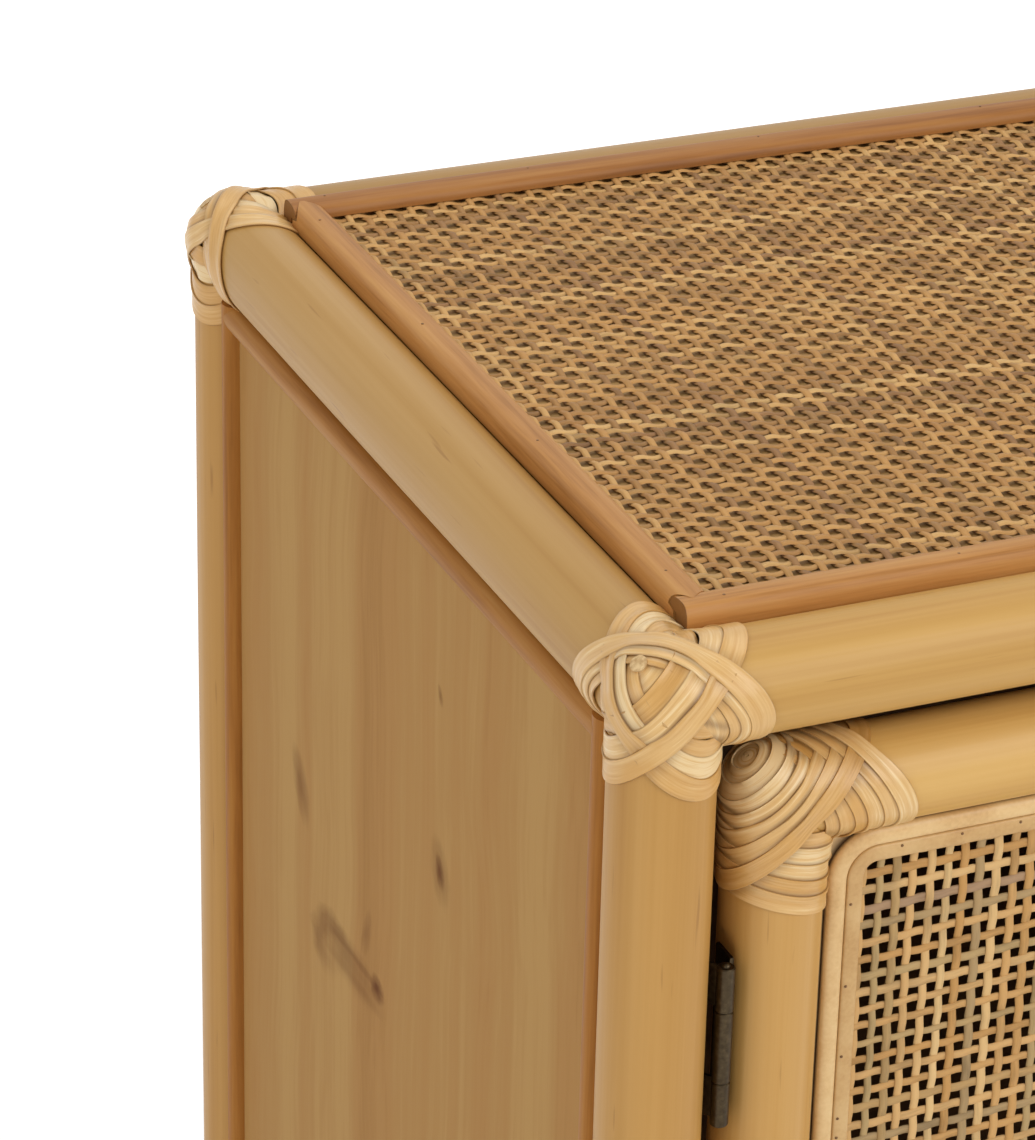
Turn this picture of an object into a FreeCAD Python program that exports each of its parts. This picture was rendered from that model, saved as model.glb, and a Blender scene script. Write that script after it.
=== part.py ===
import FreeCAD, Part
import math
import os

V = FreeCAD.Vector

# Rattan side table with one cane door. Millimetres, +Z up, front towards -Y, origin on
# the floor under the middle of the whole, knob included.

# Cabinet over its poles, and the height of the top strips' crown over the floor
WIDTH = 450.0
DEPTH = 347.0
HEIGHT = 600.0
BOTTOM_RAIL_Z = 118.0

# Rattan poles, and the gaps left where pieces meet
POLE_R = 14.5
POLE_END = 5.0
COPE_GAP = 0.2
SEAT = 0.3

# Top: board, cane webbing and the half-round strips that cover its edge
TOP_BOARD_T = 10.0
TOP_BOARD_RISE = 11.4
TOP_WEB_T = 2.0
TOP_WEB_EDGE = 17.2
TOP_STRIP_INNER = 20.7
TOP_STRIP_CROWN = 14.2
TOP_STRIP_PROUD = 4.6

# Pine sides with their thin strips
SIDE_FACE = 8.0
SIDE_T = 12.0
SIDE_STRIP_INNER = 21.0
SIDE_STRIP_PROUD = 4.0

# Back, bottom, shelf and what carries the shelf
BACK_FACE = 4.0
BACK_T = 6.0
BOTTOM_RISE = 10.0
BOTTOM_T = 10.0
SHELF_Z = 330.0
SHELF_T = 12.0
SHELF_SETBACK = 24.0
CLEAT = 15.0
CLEAT_CLEAR = 20.0

# Glides under the posts
GLIDE_T = 4.0
GLIDE_R = 11.0
ROUND_SIDES = 24

# Peel bindings: flat strips wound over the joints, in straight facets
PEEL_T = 1.2
PEEL_SEAT = 0.3
DRAPE_SEAT = 1.0
TIP_R = 16.2
DRAPE = 1.5
SWIRL_W = 4.2
SWIRL_GAP = 0.8
SWIRL_START = 3.2
SWIRL_SIDES = 7
SWIRL_CORNER = 14.0
SWIRL_STEPS = 3
BAND_W = 5.5
BAND_GAP = 0.7
BAND_TURNS = 1.2
BAND_START = 22.5
TURN_STEPS = 12
FOOT_BAND_START = 17.0

# Door of slightly thinner poles, set a little behind the front poles
DOOR_POLE_R = 14.0
DOOR_SIDE_GAP = 6.0
DOOR_END_GAP = 7.4
DOOR_SET_BACK = 2.6
COIL_W = 4.2
COIL_GAP = 0.8
COIL_LOOPS = 4
COIL_START = -11.0
COIL_SEAT = 0.6
COIL_STEPS = 10
DOOR_BAND_W = 4.2
DOOR_BAND_START = 28.0

# Bead round the door's opening, and the webbing between it and the back bead
BEAD_CORNER = 18.0
BEAD_OUTER_W = 5.6
BEAD_JOIN = 0.15
BEAD_INNER_W = 5.7
BEAD_T = 3.4
BEAD_LOW = 1.0
BEAD_BEVEL = 1.0
BEAD_HUMP = 2.4
BACK_BEAD_T = 4.0
DOOR_WEB_T = 1.5
DOOR_WEB_MARGIN = 1.0
DOOR_WEB_FORE = 0.3
WEB_ACROSS = 10
WEB_UP = 11
WEB_OPEN = 0.55

# Butt hinges in the gap between the left post and the door
HINGE_H = 54.0
HINGE_DROP = 104.7
HINGE_FORE = 7.4
KNUCKLE_R = 2.5
KNUCKLE_SIDES = 16
KNUCKLE_MIDDLE = 22.0
KNUCKLE_GAP = 0.2
PIN_R = 1.25
PIN_RUN = 0.05
LEAF_T = 1.2
LEAF_REACH = 14.0
POST_FLAT = 1.9
DOOR_FLAT = 1.5
FLAT_ROOM = 0.2

# Knob on the free stile, and the magnetic catch behind it
KNOB_R = 10.5
KNOB_FACE_R = 7.0
KNOB_FACE = 5.0
KNOB_RIM = 2.5
KNOB_BACK = 4.0
KNOB_NECK_R = 4.5
KNOB_NECK_L = 7.0
KNOB_ROSE_R = 8.0
KNOB_ROSE_T = 6.0
KNOB_FLAT = 2.6
KNOB_RISE = 0.0
CATCH_W = 42.0
CATCH_D = 16.0
CATCH_H = 13.0
CATCH_GAP = 0.4
STRIKE_W = 12.0
STRIKE_H = 34.0
STRIKE_T = 1.2
STRIKE_FLAT = 1.8

# Places that follow from the sizes above
POST_X = WIDTH / 2 - POLE_R
POST_Y = DEPTH / 2 - POLE_R
RAIL_Z = HEIGHT - TOP_BOARD_RISE - TOP_WEB_T - TOP_STRIP_PROUD
EDGE = POLE_R + SEAT
FACET = math.cos(math.pi / TURN_STEPS)
BAND_R = (POLE_R + PEEL_SEAT + PEEL_T) / FACET
BAND_END = BAND_START + BAND_W + (BAND_W + BAND_GAP) * BAND_TURNS
STRIP_FOOT = EDGE * math.cos(math.radians(45))
SIDE_STRIP_FOOT = math.sqrt(POLE_R ** 2 - SIDE_FACE ** 2) + SEAT
SIDE_INNER = POST_X + SIDE_FACE - SIDE_T
BACK_INNER = POST_Y + BACK_FACE - BACK_T
DOOR_BAND_R = BAND_R - POLE_R + DOOR_POLE_R
DOOR_BAND_END = DOOR_BAND_START + DOOR_BAND_W + (DOOR_BAND_W + BAND_GAP) * BAND_TURNS
FOOT_BAND_END = FOOT_BAND_START + BAND_END - BAND_START
STILE_X = POST_X - POLE_R - DOOR_SIDE_GAP - DOOR_POLE_R
DOOR_Y = -POST_Y + DOOR_SET_BACK
DOOR_TOP = RAIL_Z - POLE_R - DOOR_END_GAP - DOOR_POLE_R
DOOR_BOTTOM = BOTTOM_RAIL_Z + POLE_R + DOOR_END_GAP + DOOR_POLE_R
DOOR_MID = (DOOR_TOP + DOOR_BOTTOM) / 2
WEB_FRONT = DOOR_Y - DOOR_WEB_FORE
BEAD_X = STILE_X - DOOR_POLE_R - SEAT
BEAD_Z = (DOOR_TOP - DOOR_BOTTOM) / 2 - DOOR_POLE_R - SEAT
BEAD_W = BEAD_OUTER_W + BEAD_JOIN + BEAD_INNER_W
HINGE_X = -POST_X + POLE_R + DOOR_SIDE_GAP / 2
HINGE_Y = -POST_Y - HINGE_FORE
HINGE_ZS = (RAIL_Z - HINGE_DROP, BOTTOM_RAIL_Z + HINGE_DROP)
POST_LEAF_X = -POST_X + POLE_R - POST_FLAT
DOOR_LEAF_X = -STILE_X - DOOR_POLE_R + DOOR_FLAT
KNOB_Z = DOOR_MID + KNOB_RISE
STRIKE_Y = DOOR_Y + DOOR_POLE_R - STRIKE_FLAT
CATCH_Y = STRIKE_Y + STRIKE_T + CATCH_GAP
STRIKE_Z = SHELF_Z - SHELF_T - CATCH_H / 2
KNOB_SEAT = DOOR_Y - DOOR_POLE_R + KNOB_FLAT
KNOB_REACH = KNOB_ROSE_T + KNOB_NECK_L + KNOB_BACK + KNOB_FACE - KNOB_SEAT
FRAME_Y = (KNOB_REACH - DEPTH / 2 - DRAPE_SEAT - PEEL_T) / 2

X, Y, Z = V(1, 0, 0), V(0, 1, 0), V(0, 0, 1)
O = V(0, 0, 0)

os.makedirs("parts", exist_ok=True)


def save(name, *shapes):
    """Write one piece, or a group of alike pieces, as separate solids, moved to the whole's frame."""
    solids = [solid for shape in shapes for solid in shape.Solids]
    shape = solids[0] if len(solids) == 1 else Part.makeCompound(solids)
    shape.translated(V(0, FRAME_Y, 0)).exportStep("parts/" + name + ".step")


def box(x0, x1, y0, y1, z0, z1):
    """Box between two corners."""
    return Part.makeBox(x1 - x0, y1 - y0, z1 - z0, V(x0, y0, z0))


def outline(points, arcs=None):
    """Flat face in a closed outline; arcs gives a point on the way from a corner to the next."""
    arcs = arcs or {}
    edges = []
    for i, start in enumerate(points):
        end = points[(i + 1) % len(points)]
        if i in arcs:
            edges.append(Part.Arc(start, arcs[i], end).toShape())
        else:
            edges.append(Part.makeLine(start, end))
    return Part.Face(Part.Wire(edges))


def flat_sided(flats):
    """Solid enclosed by flat faces, each given by its corners in order."""
    shell = Part.Shell([Part.Face(Part.makePolygon(flat + flat[:1])) for flat in flats])
    shell.sewShape()
    return Part.makeSolid(shell)


def prism(radius, length, start, way, sides, end_radius=None):
    """Rod or taper with flat sides, used for small pieces; its sides touch the given radius."""
    spin = FreeCAD.Rotation(Z, way)
    turns = [2 * math.pi * (i + 0.5) / sides for i in range(sides)]
    rings = []
    for r, place in ((radius, start), (radius if end_radius is None else end_radius, start + way * length)):
        reach = r / math.cos(math.pi / sides)
        rings.append([place + spin.multVec(V(math.cos(t), math.sin(t), 0)) * reach for t in turns])
    low, high = rings
    return flat_sided([[low[i - 1], low[i], high[i], high[i - 1]] for i in range(sides)] + [low[::-1], high])


def quarter(centre, a, b):
    """Point half way round the quarter oval that runs from one arm of a corner to the other."""
    return centre + (a + b) * math.cos(math.radians(45))


def mirrored(shape, x=False, y=False, level=None):
    """The shape mirrored left to right, front to back, or across a level."""
    if x:
        shape = shape.mirror(O, X)
    if y:
        shape = shape.mirror(O, Y)
    if level is not None:
        shape = shape.mirror(V(0, 0, level), Z)
    return shape


def four_corners(shape):
    """Front left, front right, back left and back right copies of a front left shape."""
    return [mirrored(shape, x, y) for y in (False, True) for x in (False, True)]


def cut_all(shape, tools):
    """The shape less every tool."""
    for tool in tools:
        shape = shape.cut(tool)
    return shape


# Bindings of rattan peel


def wound_strip(points, normals, width):
    """Flat strip laid along points of a surface, with two triangles to each side of a step."""
    sections = []
    last = len(points) - 1
    for i, (point, normal) in enumerate(zip(points, normals)):
        run = points[min(i + 1, last)] - points[max(i - 1, 0)]
        side = run.cross(normal).normalize() * (width / 2)
        up = normal * PEEL_T
        sections.append([point - side, point + side, point + side + up, point - side + up])
    flats = [sections[0][::-1], sections[-1]]
    for low, high in zip(sections, sections[1:]):
        for k in range(4):
            flats += [[low[k - 1], low[k], high[k]], [low[k - 1], high[k], high[k - 1]]]
    return flat_sided(flats)


def band(radius, width, start, arm):
    """Strip wound round a pole as a helix that starts some way along it."""
    pitch = width + BAND_GAP
    steps = round(BAND_TURNS * TURN_STEPS)
    inner = (radius + PEEL_SEAT) / FACET
    spin = FreeCAD.Rotation(Z, arm)
    points, normals = [], []
    for i in range(steps + 1):
        angle = 2 * math.pi * i / TURN_STEPS
        normal = V(math.cos(angle), math.sin(angle), 0)
        along = start + width / 2 + pitch * i / TURN_STEPS
        points.append(spin.multVec(normal * inner + Z * along))
        normals.append(spin.multVec(normal))
    return wound_strip(points, normals, width)


def drape(out, flat):
    """Where a point seen along the tip of a corner lies on its poles, and the way out there."""
    heights, ways = [], []
    forms = [(TIP_R, None)] + [(POLE_R + DRAPE_SEAT, arm) for arm in TOP_ARMS]
    for radius, arm in forms:
        across = (lambda v: v - arm * v.dot(arm)) if arm else (lambda v: v)
        a, b = across(flat), across(out)
        square = b.dot(b)
        middle = -a.dot(b) / square
        room = middle ** 2 - (a.dot(a) - radius ** 2) / square
        if room > 0:
            height = middle + math.sqrt(room)
            point = flat + out * height
            if arm is None or point.dot(arm) > 0:
                heights.append(height)
                ways.append(across(point).normalize())
    weights = [math.exp((height - max(heights)) / DRAPE) for height in heights]
    way = V(0, 0, 0)
    for weight, part in zip(weights, ways):
        way = way + part * weight
    return flat + out * (max(heights) + DRAPE * math.log(sum(weights))), way.normalize()


def swirl():
    """Strip wound round the tip of a corner, from pole to pole in a growing triangle."""
    out = V(-1, -1, 1).normalize()
    along = (X - out * out.dot(X)).normalize()
    aside = out.cross(along)
    corner = SWIRL_CORNER / 360
    stretch = 1 / math.cos(math.pi / 3 - 2 * math.pi * corner)
    turns = [side / 3 + end for side in range(SWIRL_SIDES + 1) for end in (-corner, corner)]
    bends = []
    for turn in turns[1:-1]:
        reach = (SWIRL_START + (SWIRL_W + SWIRL_GAP) * turn) * stretch
        angle = 2 * math.pi * turn
        bends.append(along * (reach * math.cos(angle)) + aside * (reach * math.sin(angle)))
    flats = []
    for i, (start, end) in enumerate(zip(bends, bends[1:])):
        steps = SWIRL_STEPS if i % 2 == 0 else 1
        flats += [start + (end - start) * (k / steps) for k in range(steps)]
    laid = [drape(out, flat) for flat in flats + bends[-1:]]
    return [point for point, way in laid], [way for point, way in laid]


def coil():
    """Strip wound round an L joint, slanting across it from the tip towards the crotch."""
    down, up = V(1, 0, -1).normalize(), V(1, 0, 1).normalize()
    radius = DOOR_POLE_R + COIL_SEAT
    tip = TIP_R - POLE_R + DOOR_POLE_R
    lift = 1 / math.cos(math.pi / COIL_STEPS)
    points, normals = [], []
    for i in range(COIL_LOOPS * COIL_STEPS + 1):
        angle = 2 * math.pi * i / COIL_STEPS
        place = COIL_START + (COIL_W + COIL_GAP) * i / COIL_STEPS
        ball = math.sqrt(tip ** 2 - min(place, 0) ** 2)
        wide = max(min(place, 0) + math.sqrt(2) * radius, ball) * lift
        deep = min(ball, radius + max(-place, 0)) * lift
        shift = max(place, 0) * max(-1, min(1, 4 * math.cos(angle)))
        point = down * place + up * (shift + wide * math.cos(angle)) - Y * (deep * math.sin(angle))
        ways = [point - arm * max(point.dot(arm), 0) for arm in DOOR_ARMS]
        near = min(way.Length for way in ways)
        way = ways[0] * math.exp(near - ways[0].Length) + ways[1] * math.exp(near - ways[1].Length)
        points.append(point)
        normals.append(way.normalize())
    return points, normals


def least_gap(points, width, skip):
    """Least distance of a strip's middle line to its later turns, less the strip's width."""
    fine = [p + (q - p) * (k / 6) for p, q in zip(points, points[1:]) for k in range(6)]
    far = skip * 6
    return min(p.distanceToPoint(q) for i, p in enumerate(fine) for q in fine[i + far:]) - width


TOP_ARMS = (X, Y, -Z)
DOOR_ARMS = (X, -Z)
TOP_CORNER = V(-POST_X, -POST_Y, RAIL_Z)
FOOT_CORNER = V(-POST_X, -POST_Y, BOTTOM_RAIL_Z)
DOOR_CORNER = V(-STILE_X, DOOR_Y, DOOR_TOP)


def arm_rooms(corner, arms, start, end):
    """Room round the bands on the poles of four like corners."""
    rooms = []
    for arm in arms:
        room = prism(BAND_R + SEAT, end - start + 2 * SEAT, corner + arm * (start - SEAT), arm, TURN_STEPS)
        rooms += four_corners(room)
    return rooms


TOP_ROOM = arm_rooms(TOP_CORNER, TOP_ARMS, BAND_START, BAND_END)
FOOT_ROOM = arm_rooms(FOOT_CORNER, (X, Y), FOOT_BAND_START, FOOT_BAND_END)


def bindings():
    """Swirls, coils and bands of the top corners, the door's corners and the bottom rails."""
    tip = swirl()
    save("top_binding_swirls", *four_corners(wound_strip(*tip, SWIRL_W).translated(TOP_CORNER)))
    bands = [band(POLE_R, BAND_W, BAND_START, arm) for arm in TOP_ARMS]
    save("top_binding_bands", *four_corners(Part.makeCompound(bands).translated(TOP_CORNER)))
    bands = [band(POLE_R, BAND_W, FOOT_BAND_START, arm) for arm in (X, Y)]
    save("bottom_binding_bands", *four_corners(Part.makeCompound(bands).translated(FOOT_CORNER)))
    joint = coil()
    bands = [band(DOOR_POLE_R, DOOR_BAND_W, DOOR_BAND_START, arm) for arm in DOOR_ARMS]
    for name, shapes in (("coils", [wound_strip(*joint, COIL_W)]), ("bands", bands)):
        group = Part.makeCompound(shapes).translated(DOOR_CORNER)
        pair = [mirrored(group, x) for x in (False, True)]
        save("door_binding_" + name, *pair, *[mirrored(shape, level=DOOR_MID) for shape in pair])
    print("least gap of a swirl to itself %.2f mm" % least_gap(tip[0], SWIRL_W, 2 * SWIRL_STEPS + 4))
    print("least gap of a coil to itself %.2f mm" % least_gap(joint[0], COIL_W, COIL_STEPS // 2))
    print("gap of a band to itself %.2f mm" % BAND_GAP)


# Cabinet frame


def hinge_flat(face_x, way):
    """What is cut off a pole beside each hinge so that the leaf lies flat."""
    room = HINGE_H / 2 + FLAT_ROOM
    far = face_x + way * 2 * POLE_R
    return [box(min(face_x, far), max(face_x, far), -POST_Y - 2 * POLE_R, DOOR_Y + 2 * POLE_R, z - room, z + room)
            for z in HINGE_ZS]


def posts():
    """Four posts, the left front one flatted for the hinges."""
    post = Part.makeCylinder(POLE_R, RAIL_Z + POLE_END - GLIDE_T, V(-POST_X, -POST_Y, GLIDE_T))
    names = ("post_front_left", "post_front_right", "post_back_left", "post_back_right")
    shapes = four_corners(post)
    shapes[0] = cut_all(shapes[0], hinge_flat(POST_LEAF_X, 1))
    for name, shape in zip(names, shapes):
        save(name, shape)


def rails(level, name):
    """Four rails at one level: the long pair coped to the posts, the side pair to both."""
    grown = POLE_R + COPE_GAP
    posts_room = [Part.makeCylinder(grown, 2 * HEIGHT, V(x, y, 0))
                  for x in (-POST_X, POST_X) for y in (-POST_Y, POST_Y)]
    long_room = [Part.makeCylinder(grown, 2 * POST_X, V(-POST_X, y, level), X) for y in (-POST_Y, POST_Y)]
    front = cut_all(Part.makeCylinder(POLE_R, 2 * POST_X, V(-POST_X, -POST_Y, level), X), posts_room[::2])
    left = Part.makeCylinder(POLE_R, 2 * POST_Y, V(-POST_X, -POST_Y, level), Y)
    left = cut_all(left, posts_room[:2] + long_room)
    save(name + "_rail_front", front)
    save(name + "_rail_back", mirrored(front, y=True))
    save(name + "_rail_left", left)
    save(name + "_rail_right", mirrored(left, x=True))


def top_strip_section(place):
    """Half-round strip: its heel by the pole, a rebate over the webbing, a round crown."""
    rise = TOP_BOARD_RISE + TOP_WEB_T
    crown = rise + TOP_STRIP_PROUD
    lap = TOP_WEB_EDGE - SEAT
    points = [(STRIP_FOOT, STRIP_FOOT), (EDGE, TOP_BOARD_RISE), (lap, TOP_BOARD_RISE), (lap, rise),
              (TOP_STRIP_INNER, rise), (TOP_STRIP_CROWN, crown)]
    inner = quarter(V(TOP_STRIP_CROWN, rise, 0), V(TOP_STRIP_INNER - TOP_STRIP_CROWN, 0, 0), V(0, TOP_STRIP_PROUD, 0))
    outer = quarter(V(TOP_STRIP_CROWN, STRIP_FOOT, 0), V(STRIP_FOOT - TOP_STRIP_CROWN, 0, 0),
                    V(0, crown - STRIP_FOOT, 0))
    return outline([place(u, h) for u, h in points], {4: place(inner.x, inner.y), 5: place(outer.x, outer.y)})


def top():
    """Board, webbing and four strips; the side strips are scribed to the long ones."""
    half_x, half_y = POST_X - EDGE, POST_Y - EDGE
    face_z = RAIL_Z + TOP_BOARD_RISE
    board = box(-half_x, half_x, -half_y, half_y, face_z - TOP_BOARD_T, face_z)
    save("top_board", cut_all(board, TOP_ROOM))
    web_x, web_y = POST_X - TOP_WEB_EDGE, POST_Y - TOP_WEB_EDGE
    save("top_webbing", cut_all(box(-web_x, web_x, -web_y, web_y, face_z, face_z + TOP_WEB_T), TOP_ROOM))

    end_x, end_y = POST_X - STRIP_FOOT, POST_Y - TOP_STRIP_CROWN
    section = top_strip_section(lambda u, h: V(-end_x, -POST_Y + u, RAIL_Z + h))
    front = section.extrude(X * (2 * end_x))
    room = section.makeOffset2D(COPE_GAP).extrude(X * (2 * end_x))
    side = top_strip_section(lambda u, h: V(-POST_X + u, -end_y, RAIL_Z + h)).extrude(Y * (2 * end_y))
    side = cut_all(side, [room, mirrored(room, y=True)] + TOP_ROOM)
    front = cut_all(front, TOP_ROOM)
    save("top_strip_front", front)
    save("top_strip_back", mirrored(front, y=True))
    save("top_strip_left", side)
    save("top_strip_right", mirrored(side, x=True))


def sides():
    """Pine side panels, each framed by four thin strips on its outer face."""
    face_x = -POST_X - SIDE_FACE
    low, high = BOTTOM_RAIL_Z, RAIL_Z
    rooms = TOP_ROOM + FOOT_ROOM
    panel = box(face_x, face_x + SIDE_T, -POST_Y + EDGE, POST_Y - EDGE, low + EDGE, high - EDGE)
    panel = cut_all(panel, rooms)

    def section(place):
        steps = [math.radians(angle) for angle in (0, 45, 90, 135, 180)]
        middle, half = (SIDE_STRIP_INNER + SIDE_STRIP_FOOT) / 2, (SIDE_STRIP_INNER - SIDE_STRIP_FOOT) / 2
        return outline([place(middle + half * math.cos(t), SIDE_STRIP_PROUD * math.sin(t)) for t in steps])

    middle = (SIDE_STRIP_FOOT + SIDE_STRIP_INNER) / 2
    z0, z1 = low + SIDE_STRIP_FOOT, high - SIDE_STRIP_FOOT
    y0 = -POST_Y + middle
    upright = section(lambda w, p: V(face_x - p, -POST_Y + w, z0))
    room = upright.makeOffset2D(COPE_GAP).extrude(Z * (z1 - z0))
    level = section(lambda w, p: V(face_x - p, y0, high - w)).extrude(Y * (-2 * y0))
    level = cut_all(level, [room, mirrored(room, y=True)])
    upright = upright.extrude(Z * (z1 - z0))
    strips = [upright, mirrored(upright, y=True), level, mirrored(level, level=(low + high) / 2)]
    strips = Part.makeCompound([cut_all(strip, rooms) for strip in strips])
    for name, other in (("left", False), ("right", True)):
        save("side_panel_" + name, mirrored(panel, other))
        save("side_strips_" + name, mirrored(strips, other))


def inside():
    """Back, bottom and shelf boards, and the cleats that carry the shelf."""
    half_x, half_y = POST_X - EDGE, POST_Y - EDGE
    rooms = TOP_ROOM + FOOT_ROOM
    back = box(-half_x, half_x, BACK_INNER, BACK_INNER + BACK_T, BOTTOM_RAIL_Z + EDGE, RAIL_Z - EDGE)
    save("back_panel", cut_all(back, rooms))
    floor = BOTTOM_RAIL_Z + BOTTOM_RISE
    save("bottom_board", cut_all(box(-half_x, half_x, -half_y, half_y, floor - BOTTOM_T, floor), FOOT_ROOM))
    posts_room = [Part.makeCylinder(EDGE, HEIGHT, V(x, y, 0)) for x in (-POST_X, POST_X) for y in (-POST_Y, POST_Y)]
    shelf_x = SIDE_INNER - SEAT
    shelf = box(-shelf_x, shelf_x, -POST_Y + SHELF_SETBACK, BACK_INNER - SEAT, SHELF_Z - SHELF_T, SHELF_Z)
    save("inner_shelf", cut_all(shelf, posts_room))
    cleat_z = SHELF_Z - SHELF_T
    fore, aft = CATCH_Y + CATCH_D + CLEAT_CLEAR, BACK_INNER - CLEAT_CLEAR
    cleat = box(-SIDE_INNER, -SIDE_INNER + CLEAT, fore, aft, cleat_z - CLEAT, cleat_z)
    save("shelf_cleat_left", cleat)
    save("shelf_cleat_right", mirrored(cleat, x=True))


def glides():
    """Nylon glides under the posts."""
    save("foot_glides", *four_corners(prism(GLIDE_R, GLIDE_T, V(-POST_X, -POST_Y, 0), Z, ROUND_SIDES)))


# Hinges


def hinge_leaf(z, seat_x, way, spans):
    """Leaf on the flat of a pole, its front edge turned to the knuckles at the given spans."""
    plate_x = sorted((seat_x, seat_x - way * LEAF_T))
    front = HINGE_Y - LEAF_T / 2
    leaf = box(plate_x[0], plate_x[1], front, front + LEAF_REACH, z - HINGE_H / 2, z + HINGE_H / 2)
    for low, high in spans:
        leg_x = sorted((HINGE_X, seat_x))
        leaf = leaf.fuse(box(leg_x[0], leg_x[1], front, front + LEAF_T, z + low, z + high))
        leaf = leaf.fuse(prism(KNUCKLE_R, high - low, V(HINGE_X, HINGE_Y, z + low), Z, KNUCKLE_SIDES))
    leaf = leaf.cut(Part.makeCylinder(PIN_R + PIN_RUN, HINGE_H, V(HINGE_X, HINGE_Y, z - HINGE_H / 2)))
    return leaf.removeSplitter()


def hinges():
    """Two butt hinges: post leaf with the end knuckles, door leaf with the middle one, pin."""
    half, middle = HINGE_H / 2, KNUCKLE_MIDDLE / 2
    ends = [(-half, -middle - KNUCKLE_GAP), (middle + KNUCKLE_GAP, half)]
    for name, z in zip(("upper", "lower"), HINGE_ZS):
        save("hinge_%s_post_leaf" % name, hinge_leaf(z, POST_LEAF_X, -1, ends))
        save("hinge_%s_door_leaf" % name, hinge_leaf(z, DOOR_LEAF_X, 1, [(-middle, middle)]))
        foot = V(HINGE_X, HINGE_Y, z - half)
        save("hinge_%s_pin" % name, Part.makeCylinder(PIN_R, HINGE_H, foot))


# Door


def rounded(inset):
    """Outline of the door's opening, some way inside the poles, with round corners."""
    x, z, r = BEAD_X - inset, BEAD_Z - inset, BEAD_CORNER - inset
    points, arcs = [], {}
    for cx, cz, start in ((1, 1, 0), (-1, 1, 90), (-1, -1, 180), (1, -1, 270)):
        centre = V(cx * (x - r), 0, DOOR_MID + cz * (z - r))
        turn = [centre + V(r * math.cos(math.radians(a)), 0, r * math.sin(math.radians(a)))
                for a in (start, start + 45, start + 90)]
        arcs[len(points)] = turn[1]
        points += [turn[0], turn[2]]
    return outline(points, arcs)


def bead(points):
    """Bead of the given section (inset from the poles, forward of the webbing), all round."""
    flat_x, flat_z, r = BEAD_X - BEAD_CORNER, BEAD_Z - BEAD_CORNER, BEAD_CORNER

    def place(inset, forward):
        return V(flat_x, WEB_FRONT - forward, DOOR_MID + BEAD_Z - inset)

    section = outline([place(w, p) for w, p in points])
    top = section.extrude(X * (-2 * flat_x))
    bend = section.revolve(V(flat_x, 0, DOOR_MID + BEAD_Z - r), Y, 90)
    side = section.copy()
    side.rotate(V(flat_x, 0, DOOR_MID + BEAD_Z - r), Y, 90)
    side = side.extrude(Z * (-2 * flat_z))
    bends = [bend, mirrored(bend, x=True)]
    bends += [mirrored(shape, level=DOOR_MID) for shape in bends]
    ring = top.multiFuse([mirrored(top, level=DOOR_MID), side, mirrored(side, x=True)] + bends)
    return cut_all(ring.removeSplitter(), door_rooms())


def door_rooms():
    """Room round the bands on the poles of the door's corners."""
    rooms = [prism(DOOR_BAND_R + SEAT, DOOR_BAND_END - DOOR_BAND_START + 2 * SEAT,
                   DOOR_CORNER + arm * (DOOR_BAND_START - SEAT), arm, TURN_STEPS) for arm in DOOR_ARMS]
    rooms += [mirrored(room, x=True) for room in rooms]
    return rooms + [mirrored(room, level=DOOR_MID) for room in rooms]


def webbing_openings():
    """Even grid of openings in the webbing, inside the bead."""
    step_x = 2 * (BEAD_X - BEAD_W) / WEB_ACROSS
    step_z = 2 * (BEAD_Z - BEAD_W) / WEB_UP
    half_x, half_z = WEB_OPEN * step_x / 2, WEB_OPEN * step_z / 2
    openings = []
    for column in range(WEB_ACROSS):
        x = (column - (WEB_ACROSS - 1) / 2) * step_x
        for row in range(WEB_UP):
            z = DOOR_MID + (row - (WEB_UP - 1) / 2) * step_z
            openings.append(box(x - half_x, x + half_x, WEB_FRONT - DOOR_WEB_T, WEB_FRONT + 2 * DOOR_WEB_T,
                                z - half_z, z + half_z))
    return openings


def door():
    """Stiles and coped rails, then the webbing held between the front and back beads."""
    foot = DOOR_BOTTOM - POLE_END
    stile = Part.makeCylinder(DOOR_POLE_R, DOOR_TOP + POLE_END - foot, V(-STILE_X, DOOR_Y, foot))
    room = Part.makeCylinder(DOOR_POLE_R + COPE_GAP, 2 * HEIGHT, V(-STILE_X, DOOR_Y, 0))
    rail = Part.makeCylinder(DOOR_POLE_R, 2 * STILE_X, V(-STILE_X, DOOR_Y, DOOR_TOP), X)
    rail = cut_all(rail, [room, mirrored(room, x=True)])
    hinged = cut_all(stile, hinge_flat(DOOR_LEAF_X, -1))
    free = cut_all(mirrored(stile, x=True), [strike_flat(), knob_flat()])
    save("door_stile_hinge", hinged)
    save("door_stile_latch", free)
    save("door_rail_top", rail)
    save("door_rail_bottom", mirrored(rail, level=DOOR_MID))

    split = BEAD_OUTER_W + BEAD_JOIN
    outer = bead([(0, 0), (BEAD_OUTER_W, 0), (BEAD_OUTER_W, BEAD_T), (BEAD_HUMP, BEAD_T), (0, BEAD_LOW)])
    inner = bead([(split, 0), (BEAD_W, 0), (BEAD_W, BEAD_T - BEAD_BEVEL), (BEAD_W - BEAD_BEVEL, BEAD_T),
                  (split, BEAD_T)])
    near, far = -DOOR_WEB_T, -DOOR_WEB_T - BACK_BEAD_T
    rear = [(0, near), (0, far), (BEAD_W, far), (BEAD_W, near)]
    save("door_bead_outer", outer)
    save("door_bead_inner", inner)
    save("door_bead_back", bead(rear))
    webbing = rounded(DOOR_WEB_MARGIN).extrude(Y * DOOR_WEB_T).translated(V(0, WEB_FRONT, 0))
    save("door_webbing", cut_all(webbing, door_rooms() + webbing_openings()))


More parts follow.
